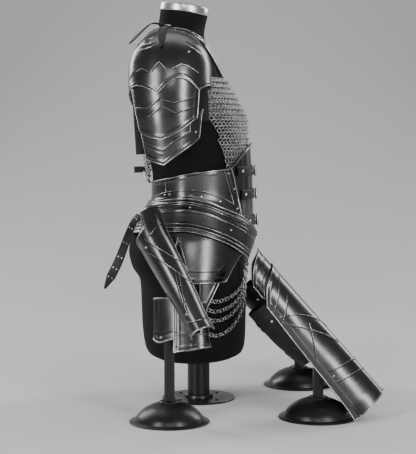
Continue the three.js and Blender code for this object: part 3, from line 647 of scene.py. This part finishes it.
MATERIALS = {
    STEEL: finish_of("dark_steel", 0.1, 1, 0.27, 0.05, 22, bump=0.04, bump_scale=45),
    BRIGHT: finish_of("bright_steel", 0.5, 1, 0.22, 0.05, 60),
    EDGE: finish_of("edge_steel", 0.34, 1, 0.22, 0.05, 60),
    MAIL: finish_of("mail_steel", 0.36, 1, 0.28, 0.06, 80),
    HIDE: finish_of("black_leather", 0.005, 0, 0.5, 0.1, 60, bump=0.35, bump_scale=420, gloss=0.3),
    CLOTH: finish_of("form_cloth", 0.005, 0, 0.85, 0.05, 300, bump=0.3, bump_scale=1500, gloss=0.15),
    PAINT: finish_of("black_paint", 0.006, 0, 0.34, 0.06, 30, bump=0.08, bump_scale=160, gloss=0.4),
    CAP_STEEL: finish_of("cap_steel", 0.6, 1, 0.32, 0.08, 40, bump=0.12, bump_scale=120,
                         stretch=(1, 1, 9)),
}


# Dress form
def form():
    piece = Piece()
    columns = 96
    turns = np.linspace(0, 360, columns, endpoint=False)
    heights = np.concatenate([np.linspace(96, 124, 12), np.linspace(132, 745, 84),
                              np.linspace(748, NECK_TOP, 24)])
    angle, z = np.meshgrid(turns, heights)
    body = form_point(angle, z)
    piece.add(body, grid_faces(len(heights), columns, wrap=True), CLOTH)
    close_end(piece, body[0], body[0].mean(0), -1, CLOTH)
    close_end(piece, body[-1], body[-1].mean(0), 1, CLOTH)
    line = np.linspace(120, NECK_LOW, 160)
    for turn in (0, 95, 180, -95):
        path, away = lifted(form_point, np.full(len(line), float(turn)), line, 0.05)
        tube(piece, path, away, 0.55, CLOTH, sides=6)
    piece.make("form_torso_cloth", ["form_torso"], "form_cloth")
    piece = Piece()
    profile = [(0, 0), (76.5, 0), (76.5, 3), (75.5, 4), (31, 4), (30.4, 9.6), (29, 11), (0, 11)]
    turned(piece, profile, (0, 0, 0), PAINT)
    for turn in range(45, 360, 90):
        reach = 55 * np.array([math.cos(math.radians(turn)), math.sin(math.radians(turn)), 0])
        rivet(piece, reach + [0, 0, 4], UP, 4, 2.2, PAINT, 12)
    piece.make("form_flange_black", ["form_flange"], "black_paint")
    piece = Piece()
    turned(piece, [(0, 11.4), (23.5, 11.4), (23.5, 95.6), (0, 95.6)], (0, 0, 0), PAINT)
    piece.make("form_pole_black", ["form_pole"], "black_paint")
    piece = Piece()
    profile = [(0, 0), (50, 0), (50.8, 0.8), (51, 2), (51, 13.4), (50.4, 15), (48.6, 16), (38, 18.2),
               (25, 20.4), (12, 21.7), (0, 22)]
    turned(piece, profile, (-30, 0, 810.4), CAP_STEEL, 80, math.atan(NECK_LEAN))
    piece.make("form_neck_cap_steel", ["form_neck_cap"], "cap_steel")


# Stands
def stand(node, x, y, top):
    """A domed foot with a square post, cut at its top."""
    piece = Piece()
    profile = [(0, 0), (77.6, 0), (78.5, 0.8), (78.5, 2.2), (77.6, 3), (70, 4), (68, 4.9), (67, 7.2),
               (65.6, 10.4), (63.9, 13.3), (61, 17), (58, 20), (54.4, 23.4), (50, 26.7), (45, 29.9),
               (39.4, 32.8), (33.5, 35.4), (28, 37.4), (22, 39), (0, 39)]
    turned(piece, profile, (x, y, 0), PAINT, 72)
    half, ease = 10, 1.6
    inset = half - ease
    corners = []
    for k, (sx, sy) in enumerate([(1, 1), (-1, 1), (-1, -1), (1, -1)]):
        for turn in np.radians([90 * k + 10, 90 * k + 45, 90 * k + 80]):
            corners.append((sx * inset + ease * math.cos(turn), sy * inset + ease * math.sin(turn)))
    corners = np.array(corners)
    foot = at(x + corners[:, 0], y + corners[:, 1], 35)
    head = at(x + corners[:, 0], y + corners[:, 1], top(corners[:, 0]))
    piece.add(np.concatenate([foot, head]), grid_faces(2, len(corners), wrap=True), PAINT)
    close_end(piece, head, head.mean(0), 1, PAINT)
    turned(piece, [(20, 38.4), (20, 41), (19, 42), (10, 42)], (x, y, 0), PAINT, 48)
    piece.make(node + "_black", [node], "black_paint")


# Shoulders
def shoulder(side, letter):
    name = "pauldron_" + letter + "_"

    def lame(label, first, last, top, bottom, out, rows, lines, rolls, studs):
        piece = Piece()
        turns = np.linspace(first, last, (last - first) // 2 + 1)
        angle, v = np.meshgrid(turns, np.linspace(0, 1, rows))
        run = mix(top(angle), bottom(angle), v)
        grid = shoulder_point(side, angle, run, out)
        above = np.maximum(0, grid[..., 2] - 690)
        outward = at(grid[..., 0] - SHOULDER_MID, grid[..., 1] - side * 140, above)
        facing = smooth(np.cos(np.radians(angle)), 0.1, 0.35)
        relief = embossed(grid[..., 0], grid[..., 2], lines, 2.6, 0.35) * facing
        relief = relief + ridge(bottom(angle) - run - 5.5, 1.6, 0.9)
        if label == "cop":
            relief = relief + ridge(run - 8, 2, 0.9) + ridge(COP_TURN - np.abs(angle) - 5, 1.4, 0.8)
        else:
            relief = relief + ridge(last - angle - 6, 2, 0.9) + ridge(angle - first - 6, 2, 0.9)
        outer, normal = shell(piece, grid, outward, relief, STEEL, rolls)
        traced(piece, outer, normal, lines)
        rivets(piece, outer, normal, studs)
        piece.make(name + label + "_steel", [name + label], "dark_steel")

    def edge(rows, lift=0):
        return lambda angle: run_at(scallop(rows, angle) + lift)

    lame("cop", -COP_TURN, COP_TURN, level(0), edge(COP_EDGE), 0, 108, COP_LINES, "lrbt",
         [(-17, 719)])
    lame("upper_lame", -66, 48, edge(COP_EDGE, 14), edge(UPPER_EDGE), -STEP, 46, UPPER_LINES, "blr", [])
    lame("lower_lame", -66, 62, edge(UPPER_EDGE, 14), edge(LOWER_EDGE), -2 * STEP, 40, LOWER_LINES, "blr",
         [(-4, 564)])
    leathers = (
        ("leather_front", 24, [(-2, 189.7, 692), (5, 183, 664), (9, 176, 630), (10, 174, 586)]),
        ("leather_back", 17, [(-111, 192.2, 690), (-114, 185, 664), (-119, 181, 632), (-113, 179, 520)]),
    )
    for label, width, path in leathers:
        piece = Piece()
        points = through([(x, side * out, z) for x, out, z in path], 40)
        band(piece, points, np.tile([0.0, side, 0.0], (40, 1)), width)
        rivet(piece, points[33], [0, side, 0], 2.6, 1.7)
        piece.make(name + label + "_strap", [name + label], "black_leather")


# Waist and hips
def waist(side, letter):
    def plate(node, front, back, top, bottom, out, cols, rows, relief, rolls, studs=(), lines=(),
              scores=()):
        piece = Piece()
        u, v = np.meshgrid(np.linspace(0, 1, cols), np.linspace(0, 1, rows))
        angle = mix(front(v), back(v), u)
        z = mix(top(angle), bottom(angle), v)
        grid = waist_point(side * angle, z, out)
        outward = at(grid[..., 0] - BODY_MID, grid[..., 1], 0 * z)
        raised = relief(angle, top(angle) - z, z - bottom(angle), (angle - front(v)) * WAIST_ARC)
        outer, normal = shell(piece, grid, outward, raised, STEEL, rolls)
        traced(piece, outer, normal, lines)
        for share in scores:
            at_row = int(round(share * (rows - 1)))
            scored(piece, outer[at_row], normal[at_row])
        rivets(piece, outer, normal, studs)
        piece.make(node + "_" + letter + "_steel", [node + "_" + letter], "dark_steel")

    def corset(angle, below, above, behind):
        relief = ridge(behind - 7, 1.6, 1.2) + ridge(below - 6, 1.6, 0.6)
        return relief + ridge(above - 12.5, 1.5, 0.9)

    def belt(angle, below, above, behind):
        relief = ridge(below - 6.5, 2, 1.5) + ridge(above - 8.5, 2, 1.5) + ridge(above - 15, 1.5, 0.9)
        return relief + ridge(below - 21, 1.3, 0.8) + ridge(behind - 8, 1.8, 0.8)

    def hip(angle, below, above, behind):
        return ridge(above - 7, 1.8, 1.2) + ridge(behind - 6, 1.8, 1)

    def tongue(angle, below, above, behind):
        return 3.4 * np.exp(-np.abs(angle - 82) * 3 / 7) + ridge(behind - 6, 1.8, 0.9)

    corset_studs = [(-68, 436), (-58, 438), (-14, 438), (6, 434), (46, 424), (62, 480), (74, 448),
                    (80, 408)]
    plate("corset", slant(51, 38), level(173), SIDE_TOP, SIDE_BOTTOM, 0, 110, 44,
          corset, "tl", corset_studs, CORSET_LINES)
    belt_studs = [(-16, 414), (48, 400), (66, 368), (-78, 398)]
    plate("belt", slant(9, 32), level(172), lambda a: SIDE_BOTTOM(a) + 9, BELT_BOTTOM,
          BELT_OUT, 116, 36, belt, "tbl", belt_studs, scores=(0.1, 0.17, 0.36, 0.78, 0.88))
    plate("hip_plate", slant(36, 57), slant(138, 104), lambda a: BELT_BOTTOM(a) + 12,
          level(266), SEAM, 76, 50, hip, "blr", (), HIP_LINES)
    plate("hip_lame", slant(60, 82.5), slant(101, 85.5), level(279),
          level(186), -STEP, 44, 44, tongue, "lr")
    chains(side, letter)


def chains(side, letter):
    piece = Piece()
    first, last = SWAG_PATH[0][0], SWAG_PATH[-1][0]
    for low in SWAGS:
        points = [waist_point(side * first, SWAG_TOP, BELT_OUT - 5.2)]
        for angle, drop in SWAG_PATH[1:-1]:
            points.append(form_point(side * angle, SWAG_TOP - drop * (SWAG_TOP - low), 8))
        points.append(waist_point(side * last, SWAG_END, -7.8))
        path = through(points, 400)
        length = lengths(path)
        count = int(length[-1] / LINK_PITCH)
        stops = (np.arange(count) + 0.5) * length[-1] / count
        centres = np.stack([np.interp(stops, length, path[:, k]) for k in range(3)], -1)
        slope = np.gradient(path, axis=0)
        ahead = unit(np.stack([np.interp(stops, length, slope[:, k]) for k in range(3)], -1))
        away = centres * np.array([1, 1, 0]) - np.array([BODY_MID, 0, 0])
        away = unit(away - ahead * np.sum(away * ahead, -1, keepdims=True))
        third = np.cross(ahead, away)
        turn = np.where(np.arange(count) % 2, LINK_TURN, -LINK_TURN)[:, None]
        across = np.cos(turn) * third + np.sin(turn) * away
        normal = np.cross(ahead, across)
        rings(piece, centres, ahead, across, normal, LINK_LONG, LINK_WIDE, LINK_WIRE, 14, 6)
    piece.make("chains_" + letter + "_links", ["chains_" + letter], "bright_steel")


def placket():
    piece = Piece()
    u, v = np.meshgrid(np.linspace(-1, 1, 109), np.linspace(0, 1, 36))
    angle = u * mix(56, 46, v)
    away = np.abs(angle)
    z = mix(PLACKET_TOP(away), PLACKET_BOTTOM(away), v)
    grid = waist_point(angle, z, -STEP)
    outward = at(grid[..., 0] - BODY_MID, grid[..., 1], 0 * z)
    fluted = 1.1 * np.abs(np.cos(np.radians(angle * 15))) ** 0.8 - 1.1
    shell(piece, grid, outward, fluted * smooth(v, 0, 0.04), STEEL, "t", 1.4)
    piece.make("corset_placket_steel", ["corset_placket"], "dark_steel")

    def onto(turn, height):
        return waist_point(turn, height, -STEP)

    for name, height, end in (("1", 484, 43), ("2", 436, 38), ("3", 381, 31)):
        piece = Piece()
        turn = np.linspace(-end, end, 49)
        points, normals = lifted(onto, turn, 0 * turn + height, SEAM + LEATHER + 0.8)
        band(piece, points, normals, STRAP_WIDTH)
        row_of_rivets(piece, points, normals, (4, -5), 3.6, 2.4)
        row_of_rivets(piece, points, normals, (14, 18, -19, -15), 1.5, 0.7)
        leather(piece, "front_strap_" + name)
        buckle("front_buckle_" + name, points[24] + np.array([3.1, 0, 0]), height)


def buckle(node, centre, height):
    """A cast frame with its bar and prong."""
    piece = Piece()
    turn = np.linspace(0, 2 * np.pi, 49)
    half, long = 10.6, 12
    y = squared(np.cos(turn)) * half
    z = squared(np.sin(turn)) * half
    path = at(centre[0], centre[1] + y, height + z)
    bar = at(centre[0], centre[1], np.linspace(height - 10, height + 10, 9))
    reach = np.linspace(0, long, 9)
    arch = 1.4 + 0.9 * np.sin(reach / long * np.pi)
    prong = at(centre[0] + arch, centre[1] - reach, height)
    wires(piece, ((path, 2.1, 10), (bar, 1.6, 8), (prong, 1.2, 8)), [1.0, 0, 0])
    piece.make(node + "_cast", [node], "bright_steel")


# Mail
def mail(node, middle, reach, top, bottom, folds):
    """Four-in-one rings over a panel's surface, in rows that lean by turns."""
    piece = Piece()
    fine = np.linspace(-reach, reach, 400)
    spine = np.linspace(770, 450, 900)
    line, _ = mail_point(middle + 0 * spine, spine)
    length = lengths(line)
    centres, away, sideways, lean = [], [], [], []
    for k in range(int(length[-1] / RING_DROP)):
        z = float(np.interp(k * RING_DROP, length, spine))
        inside = (top(np.abs(fine)) >= z) & (bottom(np.abs(fine)) <= z)
        if inside.sum() < 6:
            continue
        points, _ = mail_point(middle + fine, 0 * fine + z)
        arc = lengths(points)
        arc = arc - arc[len(fine) // 2]
        first = math.ceil(arc[0] / RING_PITCH)
        stops = (np.arange(first, int(arc[-1] / RING_PITCH) + 1) + 0.5 * (k % 2)) * RING_PITCH
        turn = np.interp(stops, arc, fine)
        turn = turn[np.interp(turn, fine, inside.astype(float)) > 0.5]
        if not len(turn):
            continue
        lift = folds(np.abs(turn), z) - 1.5
        point, normal = mail_point(middle + turn, 0 * turn + z, lift)
        ahead, _ = mail_point(middle + turn + 0.3, 0 * turn + z, lift)
        centres.append(point)
        away.append(normal)
        sideways.append(unit(ahead - point))
        lean.append(np.full(len(turn), RING_LEAN if k % 2 else -RING_LEAN))
    centres, away, sideways = (np.concatenate(part) for part in (centres, away, sideways))
    lean = np.concatenate(lean)[:, None]
    down = np.cross(sideways, away)
    plane = unit(down * np.cos(lean) + away * np.sin(lean))
    normal = np.cross(sideways, plane)
    rings(piece, centres, sideways, plane, normal, RING_RADIUS, RING_RADIUS, RING_WIRE, 12, 5)
    piece.make(node + "_rings", [node], "mail_steel")


def bib_folds(turn, z):
    """Low swags across the bottom of the bib, from a height down."""
    below = 570 - z
    wave = math.sin(below / 17 * 2 * math.pi)
    return smooth(below, 0, 50) * 2.4 * wave * np.cos(np.radians(turn)) ** 2


# Straps
def straps(side, letter):
    rows = table("v angle z", [
        (0, 20, 677), (0.3, 23, 712), (0.5, 31, 742), (0.63, 54, 758), (0.75, 88, 765), (0.9, 126, 768),
        (1, 150, 770),
    ])
    v = np.linspace(0, 1, 70)
    points, normals = lifted(form_point, side * rows["angle"](v), rows["z"](v), LEATHER + 3)
    piece = Piece()
    across = band(piece, points, normals, 13)
    for reach in (-6.2, 6.2):
        tube(piece, points + across * reach - normals * 0.7, normals, 1.5, BRIGHT, 8)
    row_of_rivets(piece, points, normals, (3, 25, 45), 2.4, 1.6)
    piece.make("neck_strap_" + letter + "_band", ["neck_strap_" + letter], "black_leather")
    end, _ = lifted(form_point, side * rows["angle"](0.82), rows["z"](0.82), LEATHER + 3)
    crest = [shoulder_point(side, turn, float(run), LEATHER + 1.7)
             for turn, run in ((-12, 4), (-12, 40), (-11, 84), (-10, 128))]
    path = through([end + [0, 0, LEATHER + 0.2]] + crest, 72)
    tilt = blended([(0, side * 0.3, 1), (0, side * 0.1, 1), (0, side * 0.15, 1), (0, side * 0.35, 1),
                    (0, side * 0.7, 0.8)], 72)
    piece = Piece()
    across = band(piece, path, tilt, 16, tip=True)
    held = 20
    middle = path[held] + tilt[held] * 1.6
    ahead = unit(path[held + 4] - path[held - 4])
    row_of_rivets(piece, path, tilt, (34, 42, 50), 1.7, 0.7)
    turn = np.linspace(0, 2 * np.pi, 41)
    wide = (squared(np.sin(turn)) * 10.5)[:, None]
    frame_path = middle + ahead * (squared(np.cos(turn)) * 9)[:, None] + across[held] * wide
    bar = middle + across[held] * np.linspace(-10, 10, 7)[:, None]
    prong = middle + ahead * np.linspace(0, 9, 7)[:, None] + tilt[held] * 1.2
    wires(piece, ((frame_path, 1.6, 8), (bar, 1.3, 8), (prong, 1.0, 8)), tilt[held])
    leather(piece, "shoulder_strap_" + letter)
    root = path[26] + [0, 0, LEATHER + SEAM]
    loose = through([root, root + [-24, side * 8, 3], (-114, root[1] + side * 14, 764),
                     (-138, root[1] + side * 16, 740)], 40)
    tilt = blended([(0, 0, 1), (-0.2, 0, 1), (-0.6, side * 0.3, 0.8), (-0.6, side * 0.5, 0.6)], 40)
    piece = Piece()
    band(piece, loose, tilt, 13, tip=True)
    row_of_rivets(piece, loose, tilt, (14, 20, 26), 1.7, 0.7)
    leather(piece, "shoulder_tail_" + letter)


def back_straps():
    piece = Piece()
    turn = np.linspace(162, 198, 40)
    points, normals = lifted(belt_point, turn, 0 * turn + 386, LEATHER + 1.9)
    band(piece, points, normals, STRAP_WIDTH)
    row_of_rivets(piece, points, normals, (4, -5), 3.4, 2.2)
    leather(piece, "back_strap")

    piece = Piece()
    start, away = lifted(belt_point, -150.0, 396.0, LEATHER + 0.4)
    path = through([start, start + [-26, -8, -14], (-164, -72, 300), (-193, -70, 242)], 64)
    tilt = blended([away, (-0.8, -0.6, 0), (-0.3, -1, 0), (0, -1, 0)], 64)
    across = band(piece, path, tilt, STRAP_WIDTH, tip=True)
    for k in range(12, 56, 7):
        for reach in (-4, 4):
            rivet(piece, path[k] + across[k] * reach, tilt[k], 1.9, 0.8)
    leather(piece, "back_strap_tail")

    piece = Piece()
    root, away = mail_point(-166.0, 487.0, LEATHER + 0.1)
    path = through([root, root + [-6, -3, 0], (-133, root[1] - 5, 486)], 24)
    band(piece, path, blended([away, (-0.5, -1, 0), (0, -1, 0)], 24), 13)
    leather(piece, "mail_strap")


# Limb guards
class Guard:
    """A bent plate about its own axis, from its low end to its high end."""

    def __init__(self, low, high, towards, back=False):
        self.low = np.array(low, float)
        self.axis = unit(np.array(high, float) - self.low)
        towards = np.array(towards, float)
        self.front = unit(towards - self.axis * (towards @ self.axis)) * (-1 if back else 1)
        self.side = np.cross(self.axis, self.front)

    def point(self, rows, angle, along):
        set_back = rows["set"](along) if "set" in rows else 0 * along
        shift = rows["shift"](along) if "shift" in rows else 0 * along
        across = shift + rows["half"](along) * np.sin(np.radians(angle))
        ahead = set_back + rows["depth"](along) * np.cos(np.radians(angle))
        return (self.low + self.axis * along[..., None] + self.side * across[..., None]
                + self.front * ahead[..., None])

    def away(self, angle):
        turn = np.radians(angle)[..., None]
        return self.side * np.sin(turn) + self.front * np.cos(turn)


def guard(node, body, rows, span, bottom, top, cols, count, relief, rolls, studs=(), turns=(),
          finish=STEEL, slot="dark_steel", lines=(), chased=()):
    """A limb guard's plate: studs by the side view, turns by angle and distance along it."""
    piece = Piece()
    turns_across = np.linspace(-span, span, cols) if isinstance(cols, int) else cols
    u, v = np.meshgrid(turns_across, np.linspace(0, 1, count))
    along = mix(bottom(u), top(u), v)
    grid = body.point(rows, u, along)
    inside = (span - np.abs(u)) * GUARD_ARC
    raised = relief(u, along, top(u) - along, along - bottom(u), inside)
    outer, normal = shell(piece, grid, body.away(u), raised, finish, rolls, 1.6)
    traced(piece, outer, normal, lines)
    for line in chased:
        line = np.array(line, float)
        share = np.linspace(0, len(line) - 1, 26 * (len(line) - 1))
        turn = np.interp(share, np.arange(len(line)), line[:, 0])
        reach = np.interp(share, np.arange(len(line)), line[:, 1])
        scored(piece, body.point(rows, turn, reach), body.away(turn))
    rivets(piece, outer, normal, studs)
    for turn, reach in turns:
        off = np.abs(u - turn) * 0.8 + np.abs(along - reach)
        where = np.unravel_index(np.argmin(off), off.shape)
        rivet(piece, outer[where], normal[where], 2.9, 2)
    piece.make(node + "_plate", [node], slot)


def arms():
    body = Guard((11.5, -300, 185), (-96, -165, 395), (0, -1, 0))
    rows = table("along half depth shift", [
        (0, 23, 26, -2), (22, 22, 25, -3), (110, 26, 28, -6), (200, 30, 32, -10), (230, 30.5, 33, -11.5),
        (286, 30, 33, -6),
    ])
    elbow = curve((-98, 222), (-84, 228), (-9, 240), (-3, 274), (98, 284))
    columns = np.concatenate([np.linspace(-98, -9, 40), np.linspace(-8, -4, 4), np.linspace(-3, 98, 46)])

    def edged(angle, along, below, above, inside):
        return ridge(inside - 6, 1.6, 0.9)

    guard("vambrace_R", body, rows, 98, level(0), elbow, columns, 124, edged, "tblr",
          [(-101, 340), (-21, 220)], lines=ARM_LINES)
    low, high, towards = (-29, -240, 140), (-33, -222, 262), (0.94, -0.33, 0)
    second = Guard(low, high, towards)
    rows_two = table("along half depth", [(0, 33, 58), (16, 31, 56), (98, 25, 50)])

    def cuff(angle, along, below, above, inside):
        frame = ridge(below - 7, 1.8, 1) + ridge(above - 7, 1.8, 1) + ridge(inside - 7, 1.8, 0.9)
        return frame + ridge(along - 34, 1.8, 1.2)

    guard("vambrace_L", second, rows_two, 96, lambda a: 8 * np.cos(np.radians(a)), level(92),
          72, 46, cuff, "tblr", turns=[(-60, 12), (60, 12)])
    flap_rows = table("along half depth", [(0, 29.8, 58), (16, 28.4, 58), (98, 22.4, 56)])
    flap_low = curve((0, 30), (48, 19), (86, 26))

    def flap(angle, along, below, above, inside):
        folds = ridge(np.abs(angle) - 22, 3, 1) + ridge(np.abs(angle) - 42, 3, 1)
        return folds + ridge(above - 12, 1.6, 0.9)

    guard("vambrace_L_flap", Guard(low, high, towards, back=True), flap_rows, 86,
          lambda a: flap_low(np.abs(a)), level(104), 60, 40, flap, "tblr",
          turns=[(-72, 33), (-52, 27), (-32, 31), (52, 27)])

    held, away = lifted(belt_point, -138.0, 384.0, LEATHER - 0.7)
    bed = float(rows["depth"](230)) - PLATE - 1.6
    inner = [body.low + body.axis * reach - body.side * 11 + body.front * deep
             for reach, deep in ((262, bed - 20), (222, bed - 1.3))]
    path = through([held, held + [-14, -24, 6]] + inner, 48)
    piece = Piece()
    band(piece, path, blended([away, away, body.front, body.front], 48), STRAP_WIDTH)
    leather(piece, "vambrace_R_hanger")


def leg(letter, shift, y):
    ankle, knee = ((x + shift, y, z) for x, z in (ANKLE, KNEE))
    towards = (1, 0, 0.9)
    rows = table("along half depth set", [
        (-8, 50, 66, -66), (24, 44, 62, -62), (110, 43, 58, -58), (230, 50, 52, -52), (350, 50, 46, -46),
    ])
    top = curve((0, 330), (30, 322), (70, 308), (102, 278))

    def engraved(angle, along, below, above, inside):
        return ridge(inside - 7, 1.8, 1.1) + ridge(below - 8, 1.8, 1.1)

    guard("greave_" + letter, Guard(ankle, knee, towards), rows, 102, level(-4),
          lambda a: top(np.abs(a)), 80, 120, engraved, "tblr", (),
          [(-92, 246), (92, 246), (-84, 90), (84, 90)],
          chased=[[(way * turn, reach) for turn, reach in line]
                  for line in SHIN_LINES for way in (-1, 1)])
    calf = table("along half depth set", [(140, 41.2, 27, 62), (215, 46.4, 42, 58), (284, 47.2, 46, 55)])

    def strapped(angle, along, below, above, inside):
        first = smooth(13 - np.abs(along - 168), 0, 2) * 1.6
        return first + smooth(13 - np.abs(along - 250), 0, 2) * 1.6

    guard("calf_plate_" + letter, Guard(ankle, knee, towards, back=True), calf, 84, level(140),
          level(284), 48, 60, strapped, "", (),
          [(-14, 250), (14, 250), (-14, 168), (14, 168), (-70, 250), (70, 250)], HIDE, "black_leather")


# Floor, light and camera
def stage():
    """A pale floor in metres, swept up into a wall behind."""
    bend, sweep = 1.4, 1.6
    profile = [(-6.0, 0.0), (bend, 0.0)]
    for turn in np.linspace(0.06, math.pi / 2, 24):
        profile.append((bend + sweep * math.sin(turn), sweep - sweep * math.cos(turn)))
    profile.append((3.0, 6.0))
    points = [(x, y, z) for y, z in profile for x in (-9.0, 9.0)]
    faces = [(2 * k, 2 * k + 1, 2 * k + 3, 2 * k + 2) for k in range(len(profile) - 1)]
    mesh = bpy.data.meshes.new("floor")
    mesh.from_pydata(points, [], faces)
    mesh.polygons.foreach_set("use_smooth", [True] * len(faces))
    material = bpy.data.materials.new("pale_floor")
    material.use_nodes = True
    shader = material.node_tree.nodes["Principled BSDF"]
    shader.inputs["Base Color"].default_value = (0.6, 0.6, 0.6, 1)
    shader.inputs["Roughness"].default_value = 0.7
    mesh.materials.append(material)
    floor = placed("floor", mesh)


def lamp(name, place, aim, width, height, power):
    data = bpy.data.lights.new(name, "AREA")
    data.shape = "RECTANGLE"
    data.size, data.size_y, data.energy = width, height, power
    lamp_object = placed(name, data)
    lamp_object.location = place
    ahead = unit(np.array(aim, float) - np.array(place, float))
    pitch = math.acos(max(-1, min(1, -ahead[2])))
    lamp_object.rotation_euler = (pitch, 0, math.atan2(-ahead[0], ahead[1]))


def light():
    """Soft lamps, each by its place, aim, width, height and power, in metres and watts."""
    world = bpy.data.worlds.new("studio")
    world.use_nodes = True
    world.node_tree.nodes["Background"].inputs["Color"].default_value = (0.2, 0.2, 0.2, 1)
    bpy.context.scene.world = world
    lamp("strip_left", (-1.5, -1.9, 1.0), (-0.05, -0.1, 0.5), 0.5, 1.9, 42)
    lamp("strip_right", (1.35, -2.0, 1.1), (0.1, -0.1, 0.45), 0.45, 1.9, 40)
    lamp("front_fill", (0.1, -3.4, 2.2), (0, 0, 0.4), 1.2, 0.8, 16)
    lamp("overhead", (0.0, 0.5, 2.6), (0, 0.1, 0.4), 2.2, 1.2, 14)
    lamp("back_rim", (-1.6, 1.3, 1.5), (0, 0, 0.5), 0.6, 1.6, 30)
    lamp("back_rim_right", (1.7, 1.2, 1.5), (0.1, 0, 0.4), 0.6, 1.6, 26)


def camera():
    """A long lens at the right side, a little above and looking slightly down."""
    look_down = 4.16
    data = bpy.data.cameras.new("camera")
    data.lens = 105.7
    data.sensor_width = 36
    data.clip_end = 50
    eye = placed("camera", data)
    eye.location = (0.020, -2.8, 0.568)
    eye.rotation_euler = (math.radians(90 - look_down), 0, 0)
    bpy.context.scene.camera = eye


camera()
stage()
light()
form()
stand("stand_arm", -55, -233.4, level(178))
SHIN_SLOPE = (KNEE[1] - ANKLE[1]) / (KNEE[0] - ANKLE[0])
SHIN_SEAT = ANKLE[1] + (LEG_STAND - ANKLE[0]) * SHIN_SLOPE - SEAT_DROP
for letter, (shift, y) in LEGS.items():
    stand("stand_leg_" + letter, LEG_STAND + shift, y, lambda x: SHIN_SEAT + x * SHIN_SLOPE)
for letter, side in SIDES.items():
    shoulder(side, letter)
    waist(side, letter)
    straps(side, letter)
placket()
mail("mail_front", 0, 74, MAIL_FRONT["top"], MAIL_FRONT["bottom"], bib_folds)
mail("mail_back", 180, 62, MAIL_BACK["top"], MAIL_BACK["bottom"], lambda turn, z: 0 * turn)
back_straps()
arms()
for letter, (shift, y) in LEGS.items():
    leg(letter, shift, y)
